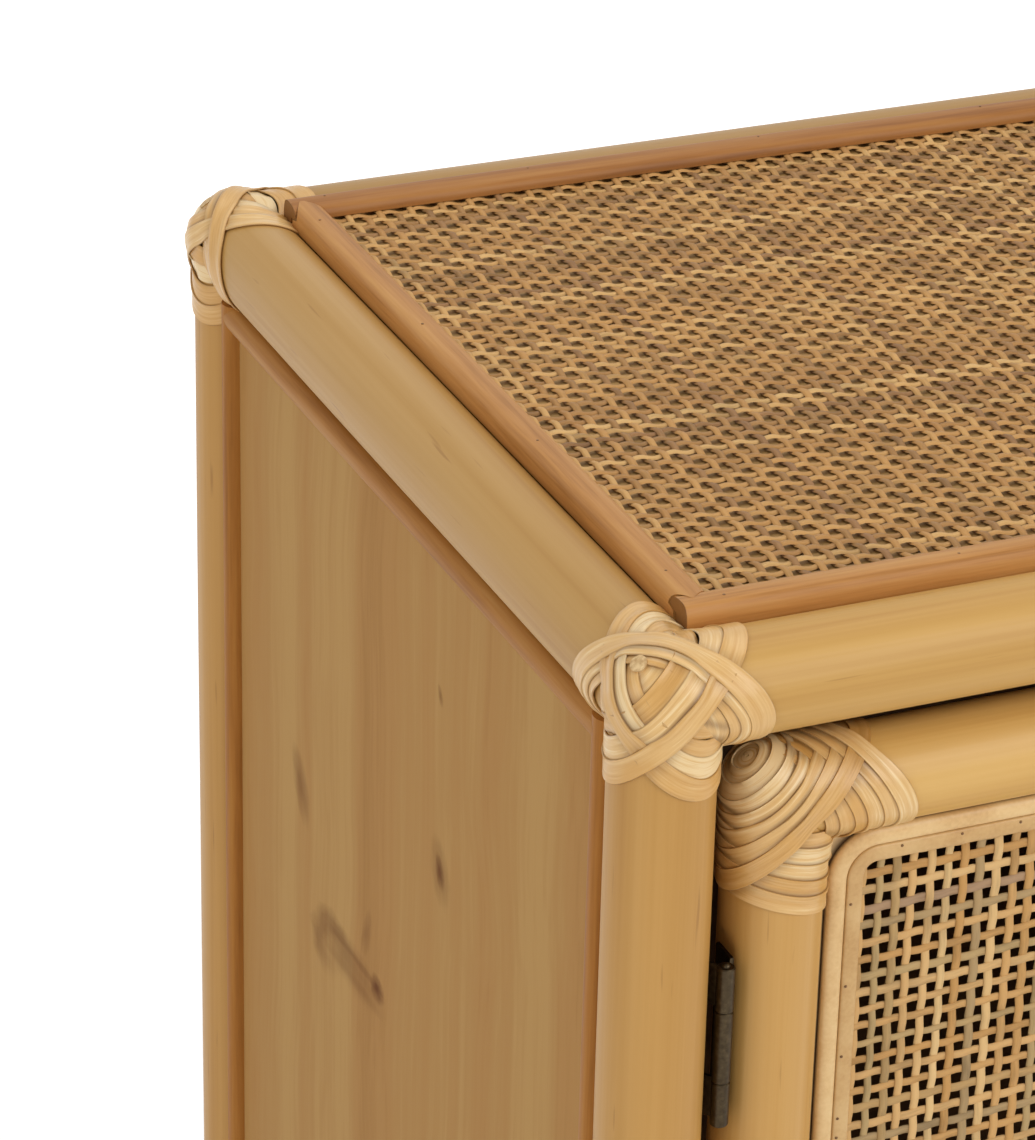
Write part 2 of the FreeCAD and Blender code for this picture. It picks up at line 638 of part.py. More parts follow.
def strike_flat():
    """Flat cut in the back of the free stile for the strike plate."""
    return box(STILE_X - DOOR_POLE_R, STILE_X + DOOR_POLE_R, STRIKE_Y, STRIKE_Y + 2 * DOOR_POLE_R,
               STRIKE_Z - STRIKE_H / 2 - FLAT_ROOM, STRIKE_Z + STRIKE_H / 2 + FLAT_ROOM)


def knob_flat():
    """Flat cut in the front of the free stile for the knob's rose."""
    room = KNOB_ROSE_R + SEAT
    front = DOOR_Y - DOOR_POLE_R
    return box(STILE_X - DOOR_POLE_R, STILE_X + DOOR_POLE_R, front - KNOB_FLAT, KNOB_SEAT, KNOB_Z - room, KNOB_Z + room)


def knob():
    """Turned knob: a rose seated on a flat of the stile, a neck and a bevelled button."""
    back = KNOB_ROSE_T + KNOB_NECK_L
    rim = back + KNOB_BACK
    steps = [(KNOB_ROSE_R, KNOB_ROSE_R, 0, KNOB_ROSE_T), (KNOB_NECK_R, KNOB_NECK_R, KNOB_ROSE_T, back),
             (KNOB_NECK_R, KNOB_R, back, rim), (KNOB_R, KNOB_R, rim, rim + KNOB_RIM),
             (KNOB_R, KNOB_FACE_R, rim + KNOB_RIM, rim + KNOB_FACE)]
    rings = [prism(r0, y1 - y0, V(STILE_X, KNOB_SEAT - y0, KNOB_Z), -Y, ROUND_SIDES, r1) for r0, r1, y0, y1 in steps]
    turned = rings[0].multiFuse(rings[1:]).removeSplitter()
    save("door_knob", turned)


def catch():
    """Magnetic catch under the shelf's front edge, and its strike plate on the door."""
    z = SHELF_Z - SHELF_T
    half = CATCH_W / 2
    save("catch_body", box(STILE_X - half, STILE_X + half, CATCH_Y, CATCH_Y + CATCH_D, z - CATCH_H, z))
    save("catch_strike_plate", box(STILE_X - STRIKE_W / 2, STILE_X + STRIKE_W / 2, STRIKE_Y, STRIKE_Y + STRIKE_T,
                                   STRIKE_Z - STRIKE_H / 2, STRIKE_Z + STRIKE_H / 2))


posts()
rails(RAIL_Z, "top")
rails(BOTTOM_RAIL_Z, "bottom")
top()
sides()
inside()
glides()
bindings()
hinges()
door()
knob()
catch()
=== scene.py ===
import math
import bpy
import numpy as np
from mathutils import Matrix


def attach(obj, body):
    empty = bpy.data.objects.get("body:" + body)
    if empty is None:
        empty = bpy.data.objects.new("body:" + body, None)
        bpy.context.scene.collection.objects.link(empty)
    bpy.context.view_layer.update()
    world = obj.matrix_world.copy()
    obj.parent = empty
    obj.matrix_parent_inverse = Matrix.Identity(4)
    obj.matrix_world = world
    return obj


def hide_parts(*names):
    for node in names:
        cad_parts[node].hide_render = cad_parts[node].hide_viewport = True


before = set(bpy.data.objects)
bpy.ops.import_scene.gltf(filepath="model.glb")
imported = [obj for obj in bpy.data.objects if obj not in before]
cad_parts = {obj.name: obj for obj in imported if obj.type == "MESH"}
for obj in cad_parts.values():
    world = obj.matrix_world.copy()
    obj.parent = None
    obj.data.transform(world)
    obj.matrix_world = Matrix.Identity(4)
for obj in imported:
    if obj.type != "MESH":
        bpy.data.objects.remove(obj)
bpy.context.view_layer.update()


# Posts and rails of the cabinet: peeled rattan of 29 mm, sanded and lacquered.
# The rails are coped to the posts and every joint is held by a binding.
def linear(code):
    """A colour written as sRGB hex, turned into the linear colour of a shader socket."""
    part = np.array([int(code[i:i + 2], 16) for i in (1, 3, 5)]) / 255
    part = np.where(part <= 0.04045, part / 12.92, ((part + 0.055) / 1.055) ** 2.4)
    return (*part.tolist(), 1.0)


def fill(tree, node, inputs):
    """Fill a node's sockets, given in order or by name or number, each with a value or with
    a link from another node's output."""
    for key, value in inputs.items() if isinstance(inputs, dict) else enumerate(inputs):
        if isinstance(value, bpy.types.NodeSocket):
            tree.links.new(value, node.inputs[key])
        else:
            node.inputs[key].default_value = value


def add(tree, kind, inputs=(), out=0, **settings):
    """Add a node, fill its sockets and give its output of this name or number. settings are
    its properties, with stops as the (place, colour or grey) of a ramp."""
    node = tree.nodes.new("ShaderNode" + kind)
    for key, value in settings.items():
        if key == "stops":
            ramp = node.color_ramp
            for place, _ in value[1:-1]:
                ramp.elements.new(place)
            for element, (place, colour) in zip(ramp.elements, value):
                element.position = place
                element.color = linear(colour) if isinstance(colour, str) else (*[colour] * 3, 1)
        else:
            setattr(node, key, value)
    fill(tree, node, inputs)
    return node.outputs[out]


def finish_of(name, roughness, **sockets):
    """A new material with a Principled shader; sockets are its constants by name."""
    made = bpy.data.materials.new(name)
    made.use_nodes = True
    shader = made.node_tree.nodes["Principled BSDF"]
    constants = {key.replace("_", " "): value for key, value in sockets.items()}
    fill(made.node_tree, shader, {"Roughness": roughness, **constants})
    return made, made.node_tree, shader


def streaks(tree, place, axis, across, along, detail, **more):
    """Grain drawn out along an axis: noise with this many cells in a metre across the grain
    and along it."""
    stretch = [across] * 3
    stretch[axis] = along
    drawn = add(tree, "Mapping", {"Vector": place, "Scale": stretch})
    return add(tree, "TexNoise", {"Vector": drawn, "Scale": 1.0, "Detail": detail, **more})


def surface(name, points, material, closed_path=False, marks=None, sharp=40):
    """One mesh of like sheets. points[s, i, j] is row i along and column j round the
    section of sheet s, in mm. Neighbouring rows and columns make the faces, the columns
    close on themselves, and each end is a flat face unless the path closes too. A sheet
    whose enclosed volume is negative is turned round, so that its faces point outwards.
    marks are values at the points for the material; edges over sharp degrees stay sharp."""
    sheets, rows, cols = points.shape[:3]
    number = np.arange(sheets * rows * cols).reshape(sheets, rows, cols)
    this = number if closed_path else number[:, :-1]
    ahead = np.roll(number, -1, 1) if closed_path else number[:, 1:]
    quads = np.stack([this, np.roll(this, -1, 2), np.roll(ahead, -1, 2), ahead], -1)
    quads = quads.reshape(sheets, -1, 4)
    flat = points.reshape(-1, 3)
    corner = flat[quads] - points.reshape(sheets, -1, 3).mean(1)[:, None, None]
    volume = sum(np.einsum("sfk,sfk->s", corner[:, :, 0], np.cross(corner[:, :, i], corner[:, :, i + 1]))
                 for i in (1, 2))
    reverse = volume < 0
    quads[reverse] = quads[reverse][:, :, ::-1]
    faces = quads.reshape(-1, 4).tolist()
    if not closed_path:
        ends = np.stack([number[:, 0, ::-1], number[:, -1]])
        ends[:, reverse] = ends[:, reverse][:, :, ::-1]
        faces += ends.reshape(-1, cols).tolist()
    mesh = bpy.data.meshes.new(name)
    mesh.from_pydata((flat / 1000).tolist(), [], faces)
    mesh.shade_smooth()
    mesh.set_sharp_from_angle(angle=math.radians(sharp))
    for key, value in (marks or {}).items():
        values = np.ascontiguousarray(np.broadcast_to(value, (sheets, rows, cols)), dtype=np.float32)
        mesh.attributes.new(key, "FLOAT", "POINT").data.foreach_set("value", values.ravel())
    mesh.materials.append(material)
    made = bpy.data.objects.new(name, mesh)
    bpy.context.scene.collection.objects.link(made)
    return made


def put(piece, body, slot, *nodes):
    """Let a piece ride on its body and stand for its CAD nodes, which are hidden; slot is not used."""
    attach(piece, body)
    if nodes:
        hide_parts(*nodes)


def pole_finish(name, axis, pale, middle, deep):
    """Lacquered rattan with its pattern drawn out along the pole's axis: patches 9 mm wide,
    fine streaks 1.4 mm wide, which are coarser than real fibres so that they show, and dark
    flecks 2 mm wide and 30 mm long. Darker streaks are also rougher."""
    made, tree, shader = finish_of("rattan_pole_lacquered_" + name, 0.4, Coat_Weight=0.04,
                                   Specular_IOR_Level=0.28, Coat_Roughness=0.3)
    place = add(tree, "TexCoord", out="Object")
    slow = streaks(tree, place, axis, 110, 3.0, 2.0)
    fine = streaks(tree, place, axis, 700, 7.0, 3.0)
    fleck = streaks(tree, place, axis, 900, 55.0, 1.0, Scale=0.6)
    mixed = add(tree, "Math", (fine, 0.32, slow), operation="MULTIPLY_ADD")
    tone = add(tree, "ValToRGB", (mixed,), stops=[(0.42, deep), (0.62, middle), (0.88, pale)])
    spots = add(tree, "ValToRGB", (fleck,), stops=[(0.73, 0.0), (0.8, 1.0)])
    spots = add(tree, "Math", (spots, 0.45), operation="MULTIPLY")
    tone = add(tree, "Mix", {0: spots, 6: tone, 7: linear("#8A5A26")}, 2, data_type="RGBA")
    sheen = add(tree, "MapRange", (mixed, 0.4, 0.9, 0.5, 0.36))
    ridge = add(tree, "Bump", {"Strength": 0.25, "Distance": 0.0002, "Height": fine})
    fill(tree, shader, {"Base Color": tone, "Roughness": sheen, "Normal": ridge})
    return made


# lengthwise streaks and a soft lacquer shine, a little paler on the front rails
pole_along = [pole_finish("across", 0, "#C99E5B", "#C29651", "#B78845"),
              pole_finish("deep", 1, "#BA9154", "#B3894A", "#A97D41"),
              pole_finish("upright", 2, "#BF914F", "#B88946", "#AE7D3B")]
# the back rails are of darker cane
back_skin = pole_finish("across_back", 0, "#AF8850", "#A98146", "#9F753C")
POLE_COLUMNS, POLE_ROW, FLAT_FADE, FLAT_DEEP = 72, 2.5, 6.0, 2.2


def pole(name, axis, centre, low, high, radius, material, coped=0.0, flats=(), seed=0):
    """A rattan pole: a circle, very slightly uneven along and round, carried along an axis.
    Each end is cut flat, or coped to a round post: the end then lies at the root of the
    post's radius squared less the sideways distance squared from the post's axis. Rings
    of falling radius close the ends. flats are (side, limit, centre, half height): the
    pole is pared down to limit there, with rounded run-outs."""
    turn = np.linspace(0, 2 * np.pi, POLE_COLUMNS, endpoint=False)
    count = int((high - low) / POLE_ROW)
    fall = np.array([0.08, 0.45, 0.8, 0.985])
    share = np.concatenate([np.zeros(4), np.linspace(0, 1, count), np.ones(4)])[:, None]
    size = np.concatenate([fall, np.ones(count), fall[::-1]])[:, None]
    phase = np.random.default_rng(seed).uniform(0, 6.28, 3)
    length = share * (high - low)
    uneven = (0.0022 * np.sin(length / 63 + phase[0]) + 0.0016 * np.sin(length / 27 + 2 * turn + phase[1])
              + 0.0018 * np.sin(2 * turn + phase[2] + length / 400))
    across = radius * size * (1 + uneven - 0.004)
    one, two = across * np.cos(turn), across * np.sin(turn)
    side = two if axis == 0 else one
    cope = np.sqrt(np.maximum(coped ** 2 - side ** 2, 0))
    start, stop = low + cope, high - cope
    shape = np.zeros((len(share), len(turn), 3)) + centre
    shape[..., axis] = start + (stop - start) * share
    first, second = ((2, 1), (0, 2), (0, 1))[axis]
    shape[..., first] += one
    shape[..., second] += two
    for sign, limit, middle, half in flats:
        away = np.clip((np.abs(shape[..., 2] - middle) - half) / FLAT_FADE, 0, 1)
        cut = limit + sign * FLAT_DEEP * (1 - np.sqrt(1 - away ** 2) + (away >= 1) * 5)
        shape[..., 0] = sign * np.minimum(sign * shape[..., 0], sign * cut)
    return surface(name, shape[None], material)


POST_X, FRONT_Y, BACK_Y, POST_R = 210.5, -151.95, 166.05, 14.5
POST_FOOT, POST_HEAD, TOP_Z, LOW_Z = 4, 587, 582.0, 118.0
HINGE_Z, HINGE_HALF, POST_FLAT_X = (477.3, 222.7), 24.8, -197.9
# each side and face with its place and its way inwards
SIDES = (("left", -POST_X, 1), ("right", POST_X, -1))
FACES = (("front", FRONT_Y, 1), ("back", BACK_Y, -1))
for side, x, _ in SIDES:
    for face, y, _ in FACES:
        hinged = (side, face) == ("left", "front")
        pared = [(1, POST_FLAT_X, z, HINGE_HALF) for z in HINGE_Z] if hinged else ()
        post = pole(f"post_{face}_{side}.rattan", 2, (x, y, 0), POST_FOOT, POST_HEAD, POST_R, pole_along[2],
                    flats=pared, seed=len(side) * 7 + len(face))
        put(post, "cabinet", "rattan_pole", f"post_{face}_{side}")
for level, z in (("top", TOP_Z), ("bottom", LOW_Z)):
    for face, y, _ in FACES:
        skin = back_skin if face == "back" else pole_along[0]
        rail = pole(f"{level}_rail_{face}.rattan", 0, (0, y, z), -POST_X, POST_X, POST_R, skin, POST_R,
                    seed=len(level) * 5 + len(face))
        put(rail, "cabinet", "rattan_pole", f"{level}_rail_{face}")
    for side, x, _ in SIDES:
        rail = pole(f"{level}_rail_{side}.rattan", 1, (x, 0, z), FRONT_Y, BACK_Y, POST_R, pole_along[1],
                    POST_R, seed=len(level) * 3 + len(side))
        put(rail, "cabinet", "rattan_pole", f"{level}_rail_{side}")


# Side panels: edge-glued pine boards with upright grain, sanded and lacquered, set
# between the posts and rails. A few knots and pitch streaks show on each.
def pine_finish(name, knots, start):
    """Lacquered pine: a slow tone for each board, about 40 mm wide, which start shifts along
    the panel's depth, upright growth lines 4 mm apart and bent a little by noise, and fibres
    0.7 mm wide, coarser than real ones so that they show. Each knot is an ellipse of the
    panel's depth and height: y, z, half sizes in mm, lean, strength, and whether it is an
    open crook, a ring that fades on its lower side, or a filled spot that fades outwards."""
    made, tree, shader = finish_of(name, 0.55, Specular_IOR_Level=0.03)
    place = add(tree, "TexCoord", out="Object")
    depth = add(tree, "SeparateXYZ", (place,), "Y")
    depth = add(tree, "Math", (depth, start), operation="SUBTRACT")
    board = add(tree, "TexNoise", {"W": depth, "Scale": 26.0, "Detail": 1.0}, noise_dimensions="1D")
    bent = add(tree, "TexNoise", {"Vector": place, "Scale": 9.0, "Detail": 1.0}, "Color")
    bent = add(tree, "MixRGB", (0.012, place, bent), blend_type="LINEAR_LIGHT")
    lines = streaks(tree, bent, 2, 260, 5.0, 4.0, Roughness=0.6)
    fibres = streaks(tree, place, 2, 1500, 40, 2.0)
    mixed = add(tree, "Math", (lines, 0.55, board), operation="MULTIPLY_ADD")
    mixed = add(tree, "Math", (fibres, 0.12, mixed), operation="MULTIPLY_ADD")
    tone = add(tree, "ValToRGB", (mixed,),
               stops=[(0.5, "#9F7440"), (0.72, "#AC804B"), (0.86, "#AE854F"), (1.0, "#B48D56")])
    for y, z, wide, high, lean, strength, crook in knots:
        around = add(tree, "Mapping", {"Vector": place, "Location": (0, y / 1000, z / 1000),
                                       "Rotation": (lean, 0, 0), "Scale": (1, wide / 1000, high / 1000)},
                     vector_type="TEXTURE")
        flat = add(tree, "VectorMath", (around, (0, 1, 1)), operation="MULTIPLY")
        ripple = add(tree, "TexNoise", {"Vector": around, "Scale": 1.6, "Detail": 3.0})
        reach = add(tree, "VectorMath", (flat,), "Value", operation="LENGTH")
        reach = add(tree, "Math", (ripple, 0.7, reach), operation="MULTIPLY_ADD")
        reach = add(tree, "Math", (reach, 0.62), operation="MULTIPLY")
        fade = [(0.35, strength), (0.7, strength * 0.5), (0.98, 0.0)]
        if crook:
            fade = [(0.36, 0.25 * strength), (0.6, strength), (0.72, strength), (0.98, 0.0)]
        amount = add(tree, "ValToRGB", (reach,), stops=fade)
        if crook:
            lower = add(tree, "VectorMath", (flat, (0, 0.75, 0.6)), "Value", operation="DOT_PRODUCT")
            lower = add(tree, "MapRange", (lower, -0.5, 0.4))
            amount = add(tree, "Math", (amount, lower), operation="MULTIPLY")
        tone = add(tree, "Mix", {0: amount, 6: tone, 7: linear("#5A2C08")}, 2, data_type="RGBA")
    ridge = add(tree, "Bump", {"Strength": 0.2, "Distance": 0.0002, "Height": mixed})
    fill(tree, shader, {"Base Color": tone, "Normal": ridge})
    return made


def dress(material, *nodes):
    """Give a better material to CAD nodes that keep their shape."""
    for name in nodes:
        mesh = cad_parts[name].data
        mesh.materials.clear()
        mesh.materials.append(material)


# honey-coloured softwood with upright lines; a spike knot with a crook of bent grain
LEFT_KNOTS = ((61, 386, 18, 12, 0.0, 0.45, True), (46, 389.5, 22, 8, 0.0, 0.36, False),
              (46, 385.5, 22, 2.2, 0.0, 0.2, False), (43, 394, 20, 1.7, 0.0, 0.34, False),
              (25, 393.5, 5, 4.5, 0, 0.85, False), (34, 408, 3.0, 9, 0.3, 0.36, False),
              (91, 429.5, 5.5, 12, -0.42, 0.5, False), (-23.5, 461, 6.0, 10, -0.3, 0.4, False),
              (-23.5, 461, 2.8, 5.2, -0.3, 0.75, False), (-22, 518, 1.5, 3.2, -0.4, 0.5, False),
              (-112, 250, 7, 11, 0.2, 0.7, False), (100, 204, 6, 8, 0.3, 0.45, False))
RIGHT_KNOTS = ((-66, 468, 7, 9, 0.2, 0.35, False), (-65, 467, 3, 4.5, 0.2, 0.7, False),
               (84, 301, 15, 14, 0.1, 0.34, True), (82, 298, 6.5, 5.5, 0.2, 0.6, False),
               (31, 524, 3, 8, 0.3, 0.4, False), (-103, 213, 4, 10, -0.3, 0.45, False),
               (9, 372, 2, 4, 0.2, 0.5, False))
for side, knots, start in (("left", LEFT_KNOTS, 0.045), ("right", RIGHT_KNOTS, 0.7)):
    dress(pine_finish("pine_board_lacquered_" + side, knots, start), "side_panel_" + side)


# Top board, back, bottom, shelf and cleats: stained plywood with the grain along the width,
# let in between the rails and posts; the shelf lies on two planed cleats.
def board_finish(name, axis, pale, deep):
    """Sliced or planed wood: figure 12 mm wide drawn out along an axis, and pores 0.8 mm
    wide, coarser than real ones so that they show."""
    made, tree, shader = finish_of(name, 0.6)
    place = add(tree, "TexCoord", out="Object")
    figure = streaks(tree, place, axis, 170.0, 4.0, 3.0, Scale=0.5, Distortion=0.3)
    pores = streaks(tree, place, axis, 1300.0, 30.0, 2.0)
    mixed = add(tree, "Math", (pores, 0.3, figure), operation="MULTIPLY_ADD")
    tone = add(tree, "ValToRGB", (mixed,), stops=[(0.45, deep), (0.85, pale)])
    ridge = add(tree, "Bump", {"Strength": 0.2, "Distance": 0.0002, "Height": mixed})
    fill(tree, shader, {"Base Color": tone, "Normal": ridge})
    return made


# sliced face grain under a dark walnut stain, darkened further as painted shade, so that the inside stays
# dark behind the cane
plywood = board_finish("plywood_stained_walnut", 0, "#6E4C2C", "#4E341C")
cleat_wood = board_finish("cleat_wood_planed", 1, "#BC9663", "#9E7645")
# stained brown, because it shows through the cane of the top
stained_ply = board_finish("plywood_stained_brown", 0, "#B08A50", "#94703A")
MIDDLE_Z = (TOP_Z + LOW_Z) / 2
BACK_HALF_X, BACK_HALF_Z, BACK_EASED = 195.7, 217.2, 1.2
# one quarter of the back panel's outline, mirrored into eight corners, and its four layers
quarter = np.array([(BACK_HALF_X, BACK_HALF_Z - BACK_EASED), (BACK_HALF_X - BACK_EASED, BACK_HALF_Z)])
ring = np.concatenate([quarter, quarter[::-1] * (-1, 1), -quarter, quarter[::-1] * (1, -1)])
size = np.array([0.998, 1, 1, 0.998])[:, None]
back_board = np.zeros((4, 8, 3))
back_board[..., 0] = size * ring[:, 0]
back_board[..., 1] = np.array([164.05, 164.5, 169.6, 170.05])[:, None]
back_board[..., 2] = MIDDLE_Z + size * ring[:, 1]
put(surface("back_panel.plywood", back_board[None], plywood), "cabinet", "plywood", "back_panel")
dress(plywood, "bottom_board", "inner_shelf")
dress(cleat_wood, "shelf_cleat_left", "shelf_cleat_right")
dress(stained_ply, "top_board")


# Cane webbing of the top: flat strands of split cane, plain woven, laid on the board
# and held at its edges under the half-round strips.
def cane_finish(name, tones):
    """Split cane: the mark tint picks each strand's own tone from a row of tones, some
    purplish or greenish; changes 30 mm long and fibres 8 mm long shade it."""
    made, tree, shader = finish_of(name, 0.48, Specular_IOR_Level=0.2)
    tint, along, across = [add(tree, "Attribute", (), "Fac", attribute_name=mark)
                           for mark in ("tint", "along", "across")]
    row = add(tree, "Math", (tint, 71.0), operation="MULTIPLY")
    slow_along = add(tree, "Math", (along, 0.035), operation="MULTIPLY")
    slow = add(tree, "CombineXYZ", (row, slow_along))
    slow = add(tree, "TexNoise", {"Vector": slow, "Scale": 1.0, "Detail": 2.0}, noise_dimensions="2D")
    fine_across = add(tree, "Math", (across, 3.0), operation="MULTIPLY")
    fine_along = add(tree, "Math", (along, 0.12), operation="MULTIPLY")
    fine = add(tree, "CombineXYZ", (fine_across, fine_along, row))
    fine = add(tree, "TexNoise", {"Vector": fine, "Scale": 1.0, "Detail": 2.0})
    tone = add(tree, "ValToRGB", (tint,), stops=tones)
    shade = add(tree, "Math", (fine, 0.5, slow), operation="MULTIPLY_ADD")
    shade = add(tree, "ValToRGB", (shade,), stops=[(0.45, 0.62), (0.75, 0.95), (1.0, 1.0)])
    tone = add(tree, "Mix", {0: 1.0, 6: tone, 7: shade}, 2, data_type="RGBA", blend_type="MULTIPLY")
    ridge = add(tree, "Bump", {"Strength": 0.3, "Distance": 0.0002, "Height": fine})
    fill(tree, shader, {"Base Color": tone, "Normal": ridge})
    return made


def weave(name, material, centre, half, pitch, width, thick, normal, seed, section):
    """Plain weave of two sets of flat strands in the plane across the axis normal. Strand
    number n of a set lies at n pitches, and rises and falls as a cosine of the place along
    it, over one crossing strand and under the next, with its neighbour the other way. thick
    is the webbing's and a strand's thickness, and section is given as shares of a strand's
    width and thickness. Gives two meshes, one for each set."""
    section = np.array(section)
    draw = np.random.default_rng(seed)
    first, second = [axis for axis in (0, 1, 2) if axis != normal]
    face = 1 if normal == 2 else -1
    made = []
    for run, step in ((0, 1), (1, 0)):
        run_axis, step_axis = ((first, second), (second, first))[run]
        count = int(2 * half[step] / pitch[step] - 0.2)
        crossings = int(2 * half[run] / pitch[run])
        place = (np.arange(count) - (count - 1) / 2) * pitch[step] + draw.normal(0, 0.16, count)
        along = np.linspace(-half[run], half[run], crossings * 4 + 1)
        parity = np.arange(count)[:, None] + run
        wave = np.cos(np.pi * (along[None] / pitch[run] + (crossings - 1) / 2 + parity))
        lift = 0.5 * (thick[0] - thick[1]) * wave
        sway = 0.22 * np.sin(along[None] / 31 + draw.uniform(0, 6.28, (count, 1)))
        sway = sway + 0.1 * np.sin(along[None] / 9 + draw.uniform(0, 6.28, (count, 1)))
        broad = width * draw.normal(1, 0.07, (count, 1, 1))
        shape = np.zeros((count, len(along), len(section), 3))
        shape[..., run_axis] = along[None, :, None] + centre[run_axis]
        shape[..., step_axis] = (place[:, None] + sway)[..., None] + section[:, 0] * broad + centre[step_axis]
        shape[..., normal] = centre[normal] + face * (lift[..., None] + section[:, 1] * thick[1])
        marks = {"tint": draw.uniform(0, 1, count)[:, None, None],
                 "along": along[None, :, None] + 400 * np.arange(count)[:, None, None],
                 "across": section[:, 0][None, None]}
        made.append(surface(f"{name}.{'warp' if run else 'weft'}", shape, material, marks=marks, sharp=75))
    return made


# warm brown strands of many tones, with a low natural shine
cane_top = cane_finish("cane_strand_brown", [(0.0, "#9A7148"), (0.12, "#A47B4B"), (0.28, "#B0814B"),
                                             (0.5, "#BF8F54"), (0.8, "#CB9D60"), (1.0, "#D8AF72")])
for strands in weave("top_webbing", cane_top, centre=(0, 7.05, 594.5), half=(192.6, 141.2), pitch=(5.0, 4.75),
                     width=2.1, thick=(1.8, 0.7), normal=2, seed=3,
                     section=[(-0.5, -0.4), (-0.36, 0.3), (0, 0.5), (0.36, 0.3), (0.5, -0.4)]):
    put(strands, "cabinet", "cane_webbing", "top_webbing")


# Edge strips of the top: half-round strips of reddish stained wood, nailed down over the
# webbing's edge; the side strips are scribed to the long front and back ones.
def strip_finish(name, axis, deep, middle, pale, end=1.0, shine=0.25):
    """Stained strip wood: streaks 4 mm wide and 110 mm long, redder and darker, pores drawn
    0.7 mm wide so that they show, and dark end grain farther out than end, in metres along
    the strip."""
    made, tree, shader = finish_of(name, 0.45, Specular_IOR_Level=shine)
    place = add(tree, "TexCoord", out="Object")
    streak = streaks(tree, place, axis, 260.0, 9.0, 3.0)
    pores = streaks(tree, place, axis, 1500.0, 60.0, 2.0)
    mixed = add(tree, "Math", (pores, 0.35, streak), operation="MULTIPLY_ADD")
    tone = add(tree, "ValToRGB", (mixed,), stops=[(0.42, deep), (0.66, middle), (0.9, pale)])
    out = add(tree, "SeparateXYZ", (place,), axis)
    out = add(tree, "Math", (out,), operation="ABSOLUTE")
    out = add(tree, "Math", (out, end), operation="GREATER_THAN")
    tone = add(tree, "Mix", {0: out, 6: tone, 7: linear("#85592B")}, 2, data_type="RGBA")
    ridge = add(tree, "Bump", {"Strength": 0.3, "Distance": 0.0002, "Height": mixed})
    fill(tree, shader, {"Base Color": tone, "Normal": ridge})
    return made


# reddish stain that lets the grain show
STRIP_END = 0.1999
strip_long = strip_finish("strip_wood_stained_long", 0, "#9A6630", "#B67F43", "#C38F51", STRIP_END)
strip_back = strip_finish("strip_wood_stained_back", 0, "#865426", "#9E6832", "#A9753C", STRIP_END)
strip_short = strip_finish("strip_wood_stained_short", 1, "#9A6630", "#B67F43", "#C38F51")
# the crown and the inner edge of an edge strip, inwards and up from the rail's axis
CROWN_IN, CROWN_UP, EDGE_IN, EDGE_UP = 14.2, 18.0, 20.7, 13.4
FOOT_LONG, FOOT_SHORT, STRIP_HALF = 10.65, 10.7, 200.04


def edge_section(foot, count=16):
    """Section of an edge strip as inward u and height h from the rail's axis: a squarish
    quarter from the foot, just clear of the pole, up to the crown, a flat quarter down to
    the inner edge, and an underside stepped over the board and the webbing."""
    rise = np.linspace(0, np.pi / 2, count)
    outer = np.stack([CROWN_IN - 3.9 * np.cos(rise) ** 0.65,
                      foot + (CROWN_UP - foot) * np.sin(rise) ** 0.65], -1)
    rise = rise[1:]
    inner = np.stack([CROWN_IN + (EDGE_IN - CROWN_IN) * np.sin(rise) ** 0.75,
                      EDGE_UP + (CROWN_UP - EDGE_UP) * np.cos(rise) ** 0.75], -1)
    under = np.array([(16.9, EDGE_UP), (16.9, 11.4), (14.8, 11.4)])
    return np.concatenate([outer, inner, under])


steps = np.linspace(0, 1, 160)[:, None]
u, h = edge_section(FOOT_LONG).T
for (face, y, inward), skin in zip(FACES, (strip_long, strip_back)):
    shape = np.zeros((len(steps), len(u), 3))
    shape[..., 0] = STRIP_HALF * (2 * steps - 1)
    shape[..., 1] = y + inward * (u + 0.1 * np.sin(shape[..., 0] / 47))
    shape[..., 2] = TOP_Z + h - 0.07 * (1 + np.sin(shape[..., 0] / 61))
    put(surface(f"top_strip_{face}.wood", shape[None], skin), "cabinet", "stained_strip", f"top_strip_{face}")
u, h = edge_section(FOOT_SHORT).T
# the short strips end on the long ones' inner curve, their underside on the stepped edges
fallen = np.clip((h - EDGE_UP) / (CROWN_UP - EDGE_UP), 0, 1)
hollow = CROWN_IN + (EDGE_IN - CROWN_IN) * np.clip(1 - fallen ** 2.67, 0, 1) ** 0.375
scribe = np.where(h > EDGE_UP, hollow, np.where(h > 11.3, 17.2, 15.0)) + 0.25 + 0.1 * (EDGE_IN - u)
low, high = FRONT_Y + scribe, BACK_Y - scribe
for side, x, inward in SIDES:
    shape = np.zeros((len(steps), len(u), 3))
    shape[..., 1] = low + (high - low) * steps
    shape[..., 0] = x + inward * (u + 0.1 * np.sin(shape[..., 1] / 43))
    shape[..., 2] = TOP_Z + h - 0.07 * (1 + np.sin(shape[..., 1] / 57))
    put(surface(f"top_strip_{side}.wood", shape[None], strip_short), "cabinet", "stained_strip",
        f"top_strip_{side}")


# Strips round the side panels: thin half-round wood of a browner stain, glued and pinned
# on the pine close to the poles; the level ones are scribed to the upright ones.
# close in tone to the pine, with hardly any shine
strip_upright = strip_finish("strip_wood_brown_upright", 2, "#8E5A24", "#A26A2D", "#AB7535", shine=0.1)
strip_level = strip_finish("strip_wood_brown_level", 1, "#93602A", "#A67136", "#AE7D42", shine=0.08)
STRIP_NEAR, STRIP_FAR, STRIP_PROUD, PANEL_X = 12.39, 21.0, 4.0, 218.5
middle, spread = (STRIP_NEAR + STRIP_FAR) / 2, (STRIP_FAR - STRIP_NEAR) / 2
bend = np.linspace(0, np.pi, 14)
inset = np.append(middle - spread * np.cos(bend), [STRIP_FAR - 0.1, STRIP_NEAR + 0.1])
proud = np.append(STRIP_PROUD * np.sin(bend) ** 0.8, [-0.05, -0.05])
